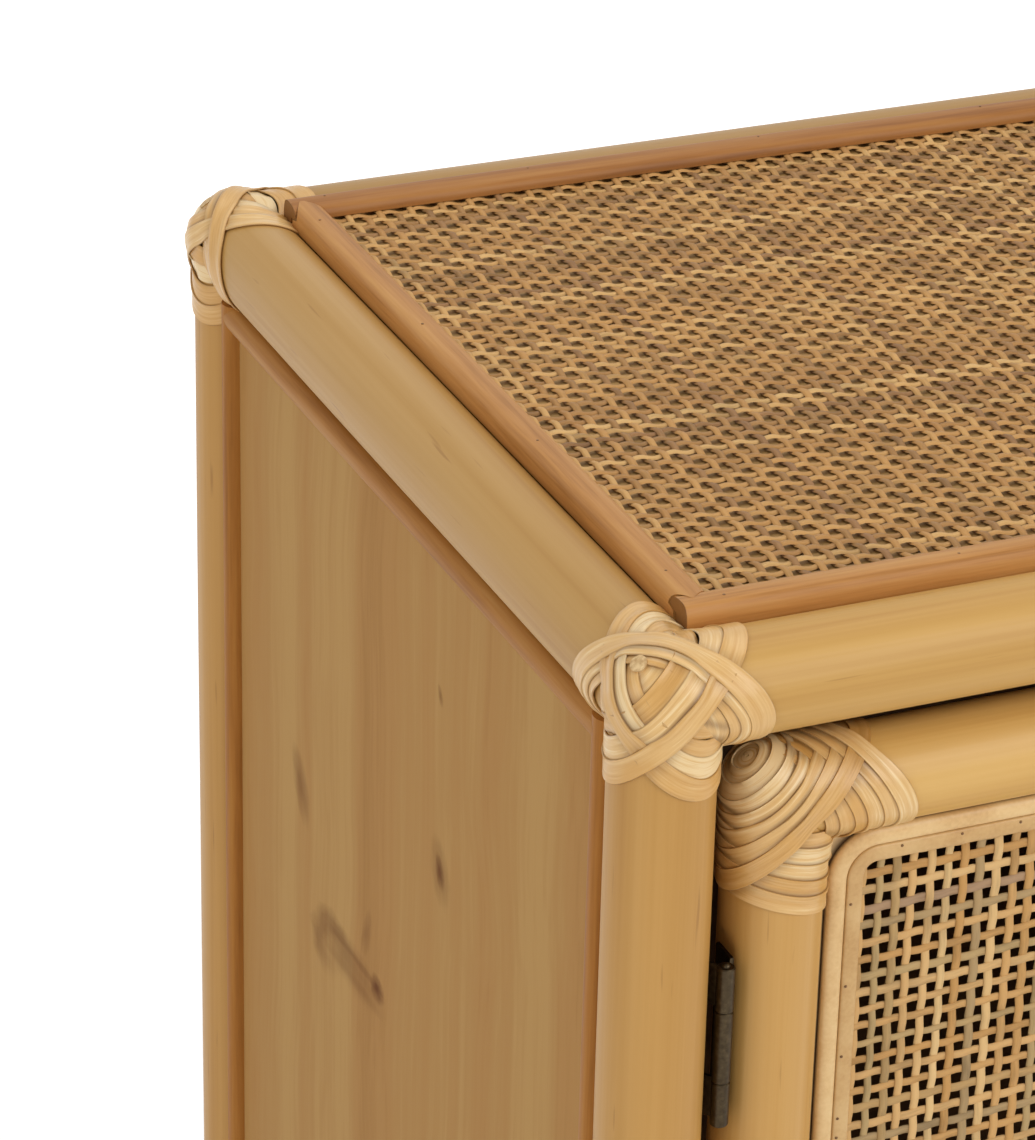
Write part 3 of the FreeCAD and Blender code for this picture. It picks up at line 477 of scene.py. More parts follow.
scribe = middle + spread * np.sqrt(np.clip(1 - (proud / STRIP_PROUD) ** 2, 0, 1)) + 0.2
low, high = FRONT_Y + scribe, BACK_Y - scribe
steps = np.linspace(0, 1, 120)[:, None]
for side, _, inward_x in SIDES:
    uprights, levels = np.zeros((2, 2, len(steps), len(inset), 3))
    uprights[..., 0] = levels[..., 0] = -inward_x * (PANEL_X + proud)
    for shape, (_, y, inward) in zip(uprights, FACES):
        shape[..., 2] = LOW_Z + STRIP_NEAR + (TOP_Z - LOW_Z - 2 * STRIP_NEAR) * steps
        shape[..., 1] = y + inward * (inset + 0.08 * np.sin(shape[..., 2] / 51))
    for shape, z, inward in zip(levels, (LOW_Z, TOP_Z), (1, -1)):
        shape[..., 1] = low + (high - low) * steps
        shape[..., 2] = z + inward * (inset + 0.08 * np.sin(shape[..., 1] / 51))
    for way, shape, skin in (("upright", uprights, strip_upright), ("level", levels, strip_level)):
        strips = surface(f"side_strips_{side}.{way}", shape, skin)
        put(strips, "cabinet", "stained_strip", f"side_strips_{side}")


# Top corner bindings: rattan peel about 7 mm wide wound taut round each corner in three
# crossing sets, one over each pair of poles, from the eye at the tip out to the poles.
def unit(vectors):
    """Each vector over its own length."""
    return vectors / np.linalg.norm(vectors, axis=-1, keepdims=True)


def soften(values, closed):
    """Each row becomes the mean of itself and its two neighbours, weighed 1 2 1."""
    if closed:
        return (np.roll(values, 1, 0) + 2 * values + np.roll(values, -1, 0)) / 4
    inside = (values[:-2] + 2 * values[1:-1] + values[2:]) / 4
    return np.concatenate([values[:1], inside, values[-1:]])


def taut_path(arms, normal, offset, out, radius, ball, rows, stop):
    """Line of a taut strip: the plane normal . p = offset cuts each arm in a curve
    (s = (offset - radial . normal) / (arm . normal) along the arm) and the tip ball in a
    circle; a taut strip follows the hull of those curves in the plane. For each direction
    in the plane the farthest point is taken, starting behind, opposite to out, and left
    open by the angle stop on both sides. Gives points evenly spaced along the hull, the
    radial directions of the poles there and the lengths so far."""
    longest, ways = 75, 720
    turn = np.linspace(0, 2 * np.pi, 160, endpoint=False)
    length = np.linalg.norm(normal)
    across = unit(np.cross(normal, (0.31, 0.87, 0.38)))
    other = np.cross(normal / length, across)
    points, faces, real = [], [], []
    for arm in arms:
        one = unit(np.cross(arm, (0.21, 0.43, 0.88)))
        radial = np.outer(np.cos(turn), one) + np.outer(np.sin(turn), np.cross(arm, one))
        reach = (offset - radius * radial @ normal) / (arm @ normal)
        points.append(reach[:, None] * arm + radius * radial)
        faces.append(radial)
        real.append((reach > 0) & (reach < longest))
    if ball:
        foot = normal * offset / length ** 2
        ring = np.sqrt(max(ball ** 2 - foot @ foot, 0))
        circle = foot + ring * (np.outer(np.cos(turn), across) + np.outer(np.sin(turn), other))
        points.append(circle)
        faces.append(unit(circle))
        real.append(np.full(len(turn), ring > 0))
    points, faces, real = np.concatenate(points), np.concatenate(faces), np.concatenate(real)
    begin = math.atan2(out @ other, out @ across) - np.pi
    angle = begin + np.linspace(stop, 2 * np.pi - stop, ways, endpoint=stop > 0)
    score = np.stack([points @ across, points @ other], 1) @ np.stack([np.cos(angle), np.sin(angle)])
    score[~real] = -1e9
    best = score.argmax(0)
    line, face = points[best], faces[best]
    if stop == 0:
        line, face = np.concatenate([line, line[:1]]), np.concatenate([face, face[:1]])
    gone = np.concatenate([[0], np.cumsum(np.linalg.norm(np.diff(line, axis=0), axis=1))])
    even = np.linspace(0, gone[-1], rows, endpoint=stop > 0)
    line = np.stack([np.interp(even, gone, line[:, i]) for i in range(3)], 1)
    face = np.stack([np.interp(even, gone, face[:, i]) for i in range(3)], 1)
    for _ in range(3):
        line, face = soften(line, stop == 0), soften(face, stop == 0)
    return line, unit(face), even


def covered(spots, face, arms_all, strip, radius):
    """How far these points lie from the middle of another strip, measured along the surface:
    the distance from its plane over the sine of the plane's angle to the surface. Points off
    its own poles, or round the back of them, count as far away."""
    arms, normal, offset, out = strip[:4]
    way = unit(normal)
    away = np.abs(spots @ way - offset / np.linalg.norm(normal))
    away = away / np.sqrt(np.clip(1 - (face @ way) ** 2, 0.003, 1))[:, None]
    near = np.zeros(spots.shape[:-1], bool)
    for arm in arms_all[list(arms)]:
        reach = spots @ arm
        off = np.linalg.norm(spots - np.maximum(reach, 0)[..., None] * arm, axis=-1)
        near |= (off < radius + 6.5) & ((reach > 0) | (len(arms) > 1))
    return np.where(near & (spots @ out > -0.8 * radius), away, 99.0)


def wound(arms_all, turns, radius, ball, seed, closed, peel=1.0, pale=0):
    """Peel strips wound one over another. turns are (arms, normal, offset, out, width, stop)
    in the order of winding. Each strip lies on its taut path; where an earlier strip passes
    under a point, which its plane and half width tell, the point is lifted by one peel, up
    to about three. The section is a low crown with rounded edges. Also gives the marks
    across, along and tint, and a mark of painted shade, high close to a later strip's
    edge. The first pale strips keep a high tint, painted light that lifts the shade round the eye."""
    draw = np.random.default_rng(seed)
    rows, most = 96, 3.0
    lay = np.array([-1, -0.94, -0.6, -0.3, 0, 0.3, 0.6, 0.94, 1])
    crown = np.array([0.35, 0.93, 0.99, 1.0, 1.0, 1.0, 0.99, 0.93, 0.35])
    below = [7, 4, 1]
    shapes, tops, tints, lengths, dark = [], [], [], [], []
    for number, (arms, normal, offset, out, width, stop) in enumerate(turns):
        line, face, even = taut_path(arms_all[list(arms)], normal, offset, out, radius,
                                     ball if len(arms) > 1 else 0, rows, stop)
        ahead = unit(np.roll(line, -1, 0) - np.roll(line, 1, 0) if closed else np.gradient(line, axis=0))
        face = unit(face - (face * ahead).sum(1, keepdims=True) * ahead)
        aside = np.cross(ahead, face)
        ripple = 1 + 0.05 * np.sin(2 * np.pi * even / even[-1] * draw.integers(2, 5) + draw.uniform(0, 6.28))
        spots = line[:, None] + aside[:, None] * (width / 2 * lay * ripple[:, None])[..., None]
        under = np.zeros(spots.shape[:2])
        for strip in turns[:number]:
            inside = strip[4] / 2 + 0.25 - covered(spots, face, arms_all, strip, radius)
            under += peel * np.clip(inside / 0.5, 0, 1)
        for _ in range(6):
            under = soften(under, closed)
        under = most * (1 - np.exp(-under / most))
        under = under + 0.15 * (under[:, ::-1] - under)
        top = spots + face[:, None] * (0.15 + under + peel * crown)[..., None]
        low = spots[:, below] + face[:, None] * (0.05 + under[:, below])[..., None]
        shapes.append(np.concatenate([top, low], 1))
        tops.append((top, face))
        tint = draw.uniform(0, 1)
        # painted light: the first pale strips keep a high tint, which lightens them against the shade round
        # the eye
        tints.append(0.8 + 0.2 * tint if number < pale else tint)
        lengths.append(even + 300 * number)
    # painted shade: the crevice mark is high close to each later strip's edge and darkens the peel there
    for number, (top, face) in enumerate(tops):
        edge = np.zeros(top.shape[:2])
        for strip in turns[number + 1:]:
            beside = np.abs(covered(top, face, arms_all, strip, radius) - strip[4] / 2 + 0.35)
            edge = np.maximum(edge, np.clip(1.15 - beside / 1.1, 0, 1))
        for _ in range(4):
            edge = soften(edge, closed)
        dark.append(np.concatenate([edge, edge[:, below]], 1))
    dark = np.stack(dark)
    marks = {"across": np.append(lay, lay[below]), "along": np.stack(lengths)[:, :, None],
             "tint": np.array(tints)[:, None, None], "crevice": dark}
    return np.stack(shapes), {key: np.broadcast_to(value, dark.shape) for key, value in marks.items()}


# pale glossy peel: own tone for each strip, fibres along it 0.8 mm wide and 20 mm long,
# golden stains of 13 mm, brown rims, and painted shade in the crevices beside later strips
peel_skin, tree, shader = finish_of("rattan_peel_lacquered", 0.35, Coat_Weight=0.12, Coat_Roughness=0.25,
                                    Specular_IOR_Level=0.4)
tint, along, across, crevice = [add(tree, "Attribute", (), "Fac", attribute_name=mark)
                                for mark in ("tint", "along", "across", "crevice")]
fine_across = add(tree, "Math", (across, 4.0), operation="MULTIPLY")
fine_along = add(tree, "Math", (along, 0.05), operation="MULTIPLY")
fibre = add(tree, "CombineXYZ", (fine_across, fine_along, tint))
fibre = add(tree, "TexNoise", {"Vector": fibre, "Scale": 1.0, "Detail": 4.0, "Roughness": 0.6})
mixed = add(tree, "Math", (tint, 0.55, fibre), operation="MULTIPLY_ADD")
tone = add(tree, "ValToRGB", (mixed,),
           stops=[(0.3, "#BB8942"), (0.55, "#CD9D59"), (0.85, "#DBB274"), (1.0, "#E8CA96")])
place = add(tree, "TexCoord", out="Object")
stain = add(tree, "TexNoise", {"Vector": place, "Scale": 75.0, "Detail": 2.0})
stain = add(tree, "Math", (tint, -0.22, stain), operation="MULTIPLY_ADD")
stain = add(tree, "ValToRGB", (stain,), stops=[(0.5, 0.0), (0.62, 0.75)])
tone = add(tree, "Mix", {0: stain, 6: tone, 7: linear("#CF9C52")}, 2, data_type="RGBA")
rim_and_painted_shade = add(tree, "Math", (across,), operation="ABSOLUTE")
rim_and_painted_shade = add(tree, "ValToRGB", (rim_and_painted_shade,), stops=[(0.93, 0.0), (1.0, 0.5)])
# painted shade: the crevice mark darkens the peel beside later strips' edges, joined with the brown rims
crevice = add(tree, "Math", (crevice, 0.85), operation="MULTIPLY")
rim_and_painted_shade = add(tree, "Math", (rim_and_painted_shade, crevice), operation="MAXIMUM")
tone = add(tree, "Mix", {0: rim_and_painted_shade, 6: tone, 7: linear("#6B4620")}, 2, data_type="RGBA")
ridge = add(tree, "Bump", {"Strength": 0.35, "Distance": 0.0003, "Height": fibre})
fill(tree, shader, {"Base Color": tone, "Normal": ridge})


def bind(name, body, wrapped, closed, *nodes):
    """One mesh of the bindings at like corners, from each corner's strips and their marks."""
    shapes, told = zip(*wrapped)
    marks = {key: np.concatenate([one[key] for one in told]) for key in told[0]}
    put(surface(name, np.concatenate(shapes), peel_skin, closed, marks, 60), body, "rattan_peel", *nodes)


CORNER_EYE, CORNER_BALL, PEEL = np.array([-9.6, -4.4, -12.9]), 15.6, 0.6
CORNER_ORDER = ((2, -0.9), (0, -1.4), (1, 2.6), (0, 3.4), (2, 3.4), (1, 7.8), (0, 7.0), (1, 13.0), (2, 5.7),
                (0, 11.0), (1, 17.6), (2, 8.5))
CORNER_LEAN = (0.62, 0.45, 0.62)


def corner_turns(draw):
    """Strips in the order of winding, as the pole that a strip leaves out and its distance
    from the eye. Its plane is a_i + a_j - k a_m = that of the eye + distance, so it crosses
    the other two poles near the eye and slants a little round behind each of them. The two
    first fill the crotch and go round one pole only."""
    turns = []
    for third, far in CORNER_ORDER:
        normal = np.ones(3)
        normal[third] = -(CORNER_LEAN[third] - 0.008 * far + draw.normal(0, 0.02))
        offset = normal @ CORNER_EYE + np.linalg.norm(normal) * (far + draw.normal(0, 0.25))
        pair = [i for i in (2, 1, 0) if i != third] if far > 0 else [0 if third == 2 else 2]
        turns.append((pair, normal, offset, -np.eye(3)[third], 6.7 + draw.normal(0, 0.25), 0.12))
    return turns


CORNERS = [(x, y, sx, sy) for _, y, sy in FACES for _, x, sx in SIDES]
wrapped = []
for number, (x, y, sx, sy) in enumerate(CORNERS):
    turns = corner_turns(np.random.default_rng(40 + number))
    shape, told = wound(np.eye(3), turns, POST_R, CORNER_BALL, 50 + number, False, peel=PEEL)
    wrapped.append((shape * (sx, sy, -1) + (x, y, TOP_Z), told))
bind("top_bindings.peel", "cabinet", wrapped, False, "top_binding_swirls", "top_binding_bands")


def eye_plug(way, reach, wide):
    """The tucked ends under a binding's eye: a low cap of a ball of radius reach round the
    direction way, wide across, closed below by a flat ring."""
    way = unit(way)
    one = unit(np.cross(way, (0.3, 0.9, 0.2)))
    turn = np.linspace(0, 2 * np.pi, 20, endpoint=False)
    ring = np.cos(turn)[:, None] * one + np.sin(turn)[:, None] * np.cross(way, one)
    out = np.array([0.08, 0.35, 0.7, 1.0, 0.9]) * wide
    high = np.sqrt(reach ** 2 - out ** 2) + np.array([0, 0.12, 0.05, 0, -1.5])
    return high[:, None, None] * way + out[:, None, None] * ring


def speckled(name, roughness, grain, deep, pale, detail=2.0, relief=None, **sockets):
    """A plain finish: noise with grain cells in a metre along x, y and z picks a tone from
    deep to pale, and lifts the surface where relief gives a strength and a height in m."""
    made, tree, shader = finish_of(name, roughness, **sockets)
    place = add(tree, "Mapping", {"Vector": add(tree, "TexCoord", out="Object"), "Scale": grain})
    speck = add(tree, "TexNoise", {"Vector": place, "Scale": 1.0, "Detail": detail})
    fill(tree, shader, {"Base Color": add(tree, "ValToRGB", (speck,), stops=(deep, pale))})
    if relief:
        strength, height = relief
        ridge = add(tree, "Bump", {"Strength": strength, "Distance": height, "Height": speck})
        fill(tree, shader, {"Normal": ridge})
    return made


# browner peel where the ends are tucked in, with short fibres 1 mm wide, its tones lightened as painted light
# against the shade round the door's eyes
peel_end = speckled("rattan_peel_tucked_end", 0.5, (900, 900, 160), (0.35, "#B48E5A"), (0.65, "#DABB88"),
                    3.0, (0.3, 0.0002))
plug = eye_plug(CORNER_EYE, 17.2, 2.4)
plugs = np.stack([plug * (sx, sy, -1) + (x, y, TOP_Z) for x, y, sx, sy in CORNERS])
put(surface("top_binding_eyes.peel", plugs, peel_end), "cabinet", "rattan_peel")


# Bottom bindings: the same peel wound round each bottom rail where it meets the post, with
# crossed strips over the post above and below.
FOOT_ARMS = np.array([(1, 0, 0), (0, 1, 0), (0, 0, 1), (0, 0, -1)], float)


def foot_turns(draw):
    """Crossed strips lie in planes near a rail + the post up or down - 0.25 other rail =
    const; then rings round each rail lean by 0.15 towards the post, one after another."""
    turns = []
    for line in (12.0, 17.0):
        for rail, other in ((0, 1), (1, 0)):
            for post in (2, 3):
                normal = FOOT_ARMS[rail] + FOOT_ARMS[post] - 0.25 * FOOT_ARMS[other]
                offset = line + draw.normal(0, 0.3)
                turns.append(((rail, post), normal, offset, -FOOT_ARMS[other], 5.6, 0.6))
    for start in (18.0, 22.2, 26.4):
        for rail, other in ((0, 1), (1, 0)):
            normal = FOOT_ARMS[rail] - 0.15 * FOOT_ARMS[2]
            turns.append(((rail,), normal, start + draw.normal(0, 0.2), -FOOT_ARMS[other], 5.8, 0.05))
    return turns


wrapped = []
for number, (x, y, sx, sy) in enumerate(CORNERS):
    turns = foot_turns(np.random.default_rng(70 + number))
    shape, told = wound(FOOT_ARMS, turns, POST_R, 0, 80 + number, False)
    wrapped.append((shape * (sx, sy, 1) + (x, y, LOW_Z), told))
bind("bottom_bindings.peel", "cabinet", wrapped, False, "bottom_binding_bands")


# Foot glides: discs of black nylon with a rounded edge, moulded in one piece and nailed
# under the posts.
# dull black with a faint grit of 1 mm, drawn coarse so that it shows
nylon = speckled("nylon_glide_black", 0.5, (900, 900, 900), (0.3, "#17181A"), (0.7, "#26282A"),
                 relief=(0.2, 0.0001))


def turned(profile, centre, axis, count=48):
    """A body of revolution: (radius, height) points of a profile carried round an axis."""
    turn = np.linspace(0, 2 * np.pi, count, endpoint=False)
    radius, height = np.asarray(profile, float).T
    shape = np.zeros((len(radius), count, 3))
    one, two = [i for i in (0, 1, 2) if i != axis]
    shape[..., one] = centre[one] + radius[:, None] * np.cos(turn)
    shape[..., two] = centre[two] + radius[:, None] * np.sin(turn)
    shape[..., axis] = centre[axis] + height[:, None]
    return shape


GLIDE_R, GLIDE_EASED, GLIDE_HIGH = 11, 1.2, 4
bend = np.linspace(0, np.pi / 2, 6)
profile = np.stack([GLIDE_R - GLIDE_EASED * (1 - np.sin(bend)), GLIDE_EASED * (1 - np.cos(bend))], 1)
profile = np.concatenate([profile, [(GLIDE_R, GLIDE_HIGH), (6, GLIDE_HIGH)]])
glides = np.stack([turned(profile, (x, y, 0), 2) for _, x, _ in SIDES for _, y, _ in FACES])
put(surface("foot_glides.nylon", glides, nylon), "cabinet", "nylon", "foot_glides")


# Door frame: thinner rattan poles of 28 mm, the rails coped to the stiles. The hinge
# stile is pared flat where the hinges sit.
# the same streaks and shine, in paler tones as painted light, lifting the shade that the cabinet's top rail
# casts on the door
stile_skin_with_painted_light = pole_finish("door_upright_painted_light", 2, "#C89B59", "#C2934F", "#B78643")
rail_skin_with_painted_light = pole_finish("door_across_painted_light", 0, "#D6AB65", "#CFA25A", "#C3934D")
DOOR_Y, STILE_X, STILE_R = -149.35, 176.0, 14.0
STILE_LOW, STILE_HIGH, STILE_FLAT_X = 148.9, 551.1, -188.5
RAIL_HIGH, RAIL_LOW = 546.1, 153.9
for side, x in (("hinge", -STILE_X), ("latch", STILE_X)):
    pared = [(-1, STILE_FLAT_X, z, HINGE_HALF) for z in HINGE_Z] if side == "hinge" else ()
    stile = pole(f"door_stile_{side}.rattan", 2, (x, DOOR_Y, 0), STILE_LOW, STILE_HIGH, STILE_R, stile_skin_with_painted_light,
                 flats=pared, seed=len(side))
    put(stile, "door", "rattan_pole", f"door_stile_{side}")
for level, z in (("top", RAIL_HIGH), ("bottom", RAIL_LOW)):
    rail = pole(f"door_rail_{level}.rattan", 0, (0, DOOR_Y, z), -STILE_X, STILE_X, STILE_R, rail_skin_with_painted_light,
                STILE_R, seed=20 + len(level))
    put(rail, "door", "rattan_pole", f"door_rail_{level}")


# Door corner bindings: closed turns of peel, slanting ones from the eye at the corner's
# tip to the crotch, and rings round the rail and the stile that they cross.
DOOR_EYE, DOOR_BALL = np.array([-9.2, -1.0, -13.1]), 14.6
SLANT_TIP, SLANT_CROTCH = np.array([0.85, 0.05, 1.15]), np.array([1.0, -0.3, 1.0])
SLANT_FAR = (1.62, 2.7, 4.69, 7.46, 10.81, 14.4, 18.0, 21.6)


def door_turns(draw):
    """Slanting turns lie in planes near a + c - 0.3 b = const, one peel after another from
    the eye; rings round the rail lean by a + 0.55 b - 0.52 c, rings round the stile by
    c - 0.3 a, so that both fall to the right."""
    front = np.array([0, -1.0, 0])
    slant, rail, stile = [], [], []
    for number, far in enumerate(SLANT_FAR):
        share = number / 7
        normal = SLANT_TIP * (1 - share) + SLANT_CROTCH * share
        offset = normal @ DOOR_EYE + np.linalg.norm(normal) * (far + draw.normal(0, 0.05 * min(number, 4)))
        slant.append(((0, 2), normal, offset, front, min(4.2 + number, 5.9) + draw.normal(0, 0.2), 0))
    for start in (0.9, 5.2, 9.5, 13.8, 18.1, 22.4):
        rail.append(((0,), np.array([1.0, 0.549, -0.515]), start + draw.normal(0, 0.15), front, 5.7, 0))
    for start in (8.1, 12.8, 17.5, 22.2, 26.9):
        stile.append(((2,), np.array([-0.3, 0.0, 1.0]), start + draw.normal(0, 0.15), front, 5.8, 0))
    order = slant[:4] + rail[:2] + stile[:1] + slant[4:5] + rail[2:3] + stile[1:2] + slant[5:6]
    return order + rail[3:4] + stile[2:3] + slant[6:7] + rail[4:5] + stile[3:] + slant[7:] + rail[5:]


DOOR_CORNERS = [(x, z, sx, sz) for z, sz in ((RAIL_HIGH, -1), (RAIL_LOW, 1))
                for x, sx in ((-STILE_X, 1), (STILE_X, -1))]
wrapped = []
for number, (x, z, sx, sz) in enumerate(DOOR_CORNERS):
    turns = door_turns(np.random.default_rng(90 + number))
    # pale=4 is painted light: the first four strips round each eye are lightened against their shade
    shape, told = wound(np.eye(3), turns, STILE_R, DOOR_BALL, 95 + number, True, peel=PEEL, pale=4)
    wrapped.append((shape * (sx, 1, sz) + (x, DOOR_Y, z), told))
bind("door_bindings.peel", "door", wrapped, True, "door_binding_coils", "door_binding_bands")
plug = eye_plug(SLANT_TIP, 15.3, 1.3)
plugs = np.stack([plug * (-sx, 1, -sz) + (x, DOOR_Y, z) for x, z, sx, sz in DOOR_CORNERS])
put(surface("door_binding_eyes.peel", plugs, peel_end), "door", "rattan_peel")


# Door webbing: open plain weave of split cane, cut to the opening and held at its edges
# between the front and back beads.
# paler strands than on the top, some purplish or greenish, with the same low shine
cane_door = cane_finish("cane_strand_pale", [(0.0, "#A8856A"), (0.08, "#AE9064"), (0.18, "#B79A69"),
                                             (0.35, "#C29255"), (0.6, "#CD9F63"), (0.85, "#D6AC72"),
                                             (1.0, "#DFBB82")])
for strands in weave("door_webbing", cane_door, centre=(0, -148.9, MIDDLE_Z), half=(159.0, 179.0),
                     pitch=(5.12, 5.3), width=2.45, thick=(1.25, 0.5), normal=1, seed=9,
                     section=[(-0.5, -0.5), (-0.43, 0.5), (0.43, 0.5), (0.5, -0.5)]):
    put(strands, "door", "cane_webbing", "door_webbing")


# Beads round the opening: an outer and an inner band of bent rattan core on the front,
# pinned through the webbing, and one bead behind.
def bead_finish(name, deep, middle, pale):
    """Lacquered rattan core: tones 17 mm across and pores drawn 1 mm wide so that they show,
    without a direction, because the core is cut from inside the cane and bent; painted shade
    makes it dark where the mark rise, the height over the webbing in mm, is low, as in the
    hollow beside a pole."""
    made, tree, shader = finish_of(name, 0.42, Coat_Weight=0.06, Specular_IOR_Level=0.35, Coat_Roughness=0.3)
    place = add(tree, "TexCoord", out="Object")
    slow = add(tree, "TexNoise", {"Vector": place, "Scale": 60.0, "Detail": 3.0})
    fine = add(tree, "TexNoise", {"Vector": place, "Scale": 900.0, "Detail": 2.0})
    mixed = add(tree, "Math", (fine, 0.3, slow), operation="MULTIPLY_ADD")
    tone = add(tree, "ValToRGB", (mixed,), stops=[(0.45, deep), (0.62, middle), (0.8, pale)])
    # painted shade: darker towards the webbing, where the bead's height over it is low
    low = add(tree, "Attribute", (), "Fac", attribute_name="rise")
    low = add(tree, "MapRange", (low, 0.7, 1.9, 0.95, 0.0))
    tone = add(tree, "Mix", {0: low, 6: tone, 7: linear("#3A2412")}, 2, data_type="RGBA")
    ridge = add(tree, "Bump", {"Strength": 0.2, "Distance": 0.0002, "Height": mixed})
    fill(tree, shader, {"Base Color": tone, "Normal": ridge})
    return made


# smooth pale core, the inner band a little more golden from handling
bead_skin = bead_finish("rattan_core_lacquered", "#C9A068", "#D7B179", "#E0BE87")
inner_skin = bead_finish("rattan_core_lacquered_golden", "#BA9059", "#C69E66", "#CFAA73")
BEAD_X, BEAD_Z, BEAD_BEND, WEB_FRONT = 161.7, 181.8, 15.5, -149.65
LIP_BEND, LIP_RISE, ARC_ROWS, RUN_ROWS = 3.0, 2.5, 14, 38


def round_frame(section, lips):
    """A section of (inset, forward) points carried round a rectangle with rounded corners
    in the door's plane; a point inset by i runs on a corner radius smaller by i. The points
    numbered in lips keep a small corner radius and so fill the frame's corners."""
    bend = np.linspace(0, np.pi / 2, ARC_ROWS)
    share = np.linspace(0, 1, RUN_ROWS + 2)[1:-1, None, None]
    inset, forward = section.T
    radius = BEAD_BEND - inset
    radius[list(lips)] = LIP_BEND
    rings = []
    for quarter, (sx, sz) in enumerate(((1, 1), (-1, 1), (-1, -1), (1, -1))):
        angle = bend + quarter * np.pi / 2
        arc = np.zeros((ARC_ROWS, len(inset), 3))
        arc[..., 0] = sx * (BEAD_X - inset - radius) + radius * np.cos(angle)[:, None]
        arc[..., 1] = WEB_FRONT - forward
        arc[..., 2] = MIDDLE_Z + sz * (BEAD_Z - inset - radius) + radius * np.sin(angle)[:, None]
        rings.append(arc)
    path = []
    for arc, after in zip(rings, rings[1:] + rings[:1]):
        path += [arc, arc[-1:] * (1 - share) + after[:1] * share]
    return np.concatenate(path)


bend = np.linspace(0, np.pi, 12)
ramp = np.linspace(0, 1, 12)
foot, crown = 0.6 + 1.9 * ramp, 2.9 + 0.5 * ramp
outer = np.stack([4.0 - 2.6 * np.cos(bend), foot + (crown - foot) * np.sin(bend) ** 0.75], -1)
outer = np.concatenate([[(0.3, 1.3)], outer, [(6.6, -0.2), (0.3, -0.2)]])
inner = np.stack([9.08 - 2.37 * np.cos(bend), 2.5 + 0.9 * np.sin(bend) ** 0.6], -1)
inner = np.concatenate([inner, [(11.45, -0.2), (6.71, -0.2)]])
back = np.stack([5.72 + 5.72 * np.cos(bend), -3.0 - 2.5 * np.sin(bend) ** 0.7], -1)
back = np.concatenate([back, [(0.0, -1.6), (11.45, -1.6)]])
for name, section, skin, lips, more in (("outer", outer, bead_skin, (0, -1), 0.0),
                                        ("inner", inner, inner_skin, (), 0.0),
                                        ("back", back, bead_skin, (), 2.0)):
    path = round_frame(section, lips)
    # rise places the painted shade: points close to the webbing darken, the back bead is lifted by 2 mm so
    # that it stays light, and round the corners the first and last points of each section are kept light
    rise = np.tile(np.abs(section[:, 1]) + more, (len(path), 1))
    curved = np.arange(len(path)) % (ARC_ROWS + RUN_ROWS) < ARC_ROWS
    rise[curved, 0] = rise[curved, -1] = LIP_RISE
    bead = surface(f"door_bead_{name}.core", path[None], skin, True, {"rise": rise}, 50)
    put(bead, "door", "rattan_bead", f"door_bead_{name}")


# Pins and nails: small heads of browned steel, driven through the inner bead into the door
# frame and down through the crowns of the edge strips.
# dull brown metal with rust specks of 0.7 mm
steel_pin = speckled("steel_pin_browned", 0.5, (1500, 1500, 1500), (0.35, "#5A3C1C"), (0.7, "#8A6236"),
                     Metallic=0.3)
PIN_HEAD = ((0.08, 0.22), (0.28, 0.2), (0.42, 0.1), (0.44, -0.3))
PIN_INSET, PIN_Y, NAIL_Z = 7.9, WEB_FRONT - 3.35, TOP_Z + CROWN_UP - 0.1
NAIL_X, NAIL_Y = (-188, -120, -40, 40, 120, 188), (-120, -35, 50, 134)


def heads(name, places, axis, sign, body):
    """One mesh of pin heads: a low dome turned about the axis at each place."""
    profile = [(radius, sign * height) for radius, height in PIN_HEAD]
    shape = np.stack([turned(profile, place, axis, 10) for place in places])
    put(surface(name, shape, steel_pin), body, "steel_plate")


draw = np.random.default_rng(17)
across = np.linspace(-143, 143, 15) + draw.normal(0, 3.2, 15)
upright = np.linspace(193, 507, 17) + draw.normal(0, 3.2, 17)
places = [(x, PIN_Y, MIDDLE_Z + s * (BEAD_Z - PIN_INSET)) for x in across for s in (-1, 1)]
places += [(s * (BEAD_X - PIN_INSET), PIN_Y, z) for z in upright for s in (-1, 1)]
heads("bead_pins.steel", places, 1, -1, "door")
places = [(x, y + inward * CROWN_IN, NAIL_Z) for x in NAIL_X for _, y, inward in FACES]
places += [(x + inward * CROWN_IN, y, NAIL_Z) for y in NAIL_Y for _, x, inward in SIDES]
heads("strip_nails.steel", places, 2, 1, "cabinet")


# Hinges: small butt hinges of browned bronze let into the post and the stile, with three
# rolled knuckles on a pin; the leaves lie on the pared flats and turn in to the knuckles.
# dark brown metal, worn a little brighter and smoother in spots of 1 mm
bronze, tree, shader = finish_of("bronze_browned", 0.4, Metallic=0.85)
worn = add(tree, "TexNoise", {"Vector": add(tree, "TexCoord", out="Object"), "Scale": 800.0, "Detail": 3.0})
tone = add(tree, "ValToRGB", (worn,), stops=[(0.3, "#34291A"), (0.6, "#443826"), (0.85, "#584A34")])
sheen = add(tree, "MapRange", (worn, 0.0, 1.0, 0.24, 0.46))
fill(tree, shader, {"Base Color": tone, "Roughness": sheen})
HINGE_X, HINGE_Y, KNUCKLE_R, LEAF_HALF = -193.0, -159.35, 2.5, 23.6
LEAF_BACK_Y, LEAF_TURN_Y, LEAF_TURN = -146.0, -157.3, 0.4
# each leaf's seat, front edge, upright spans of its legs to the knuckles, and body
LEAVES = (("post", -197.3, -153.0, ((-LEAF_HALF, -11.1), (11.1, LEAF_HALF)), "cabinet"),
          ("door", -189.1, -154.8, ((-10.9, 10.9),), "door"))
PIN_TIPS = ((0.2, -25.6), (0.9, -25.3), (1.2, -24.8), (1.2, -24.2),
            (1.2, 24.2), (1.2, 24.8), (0.9, 25.3), (0.2, 25.6))


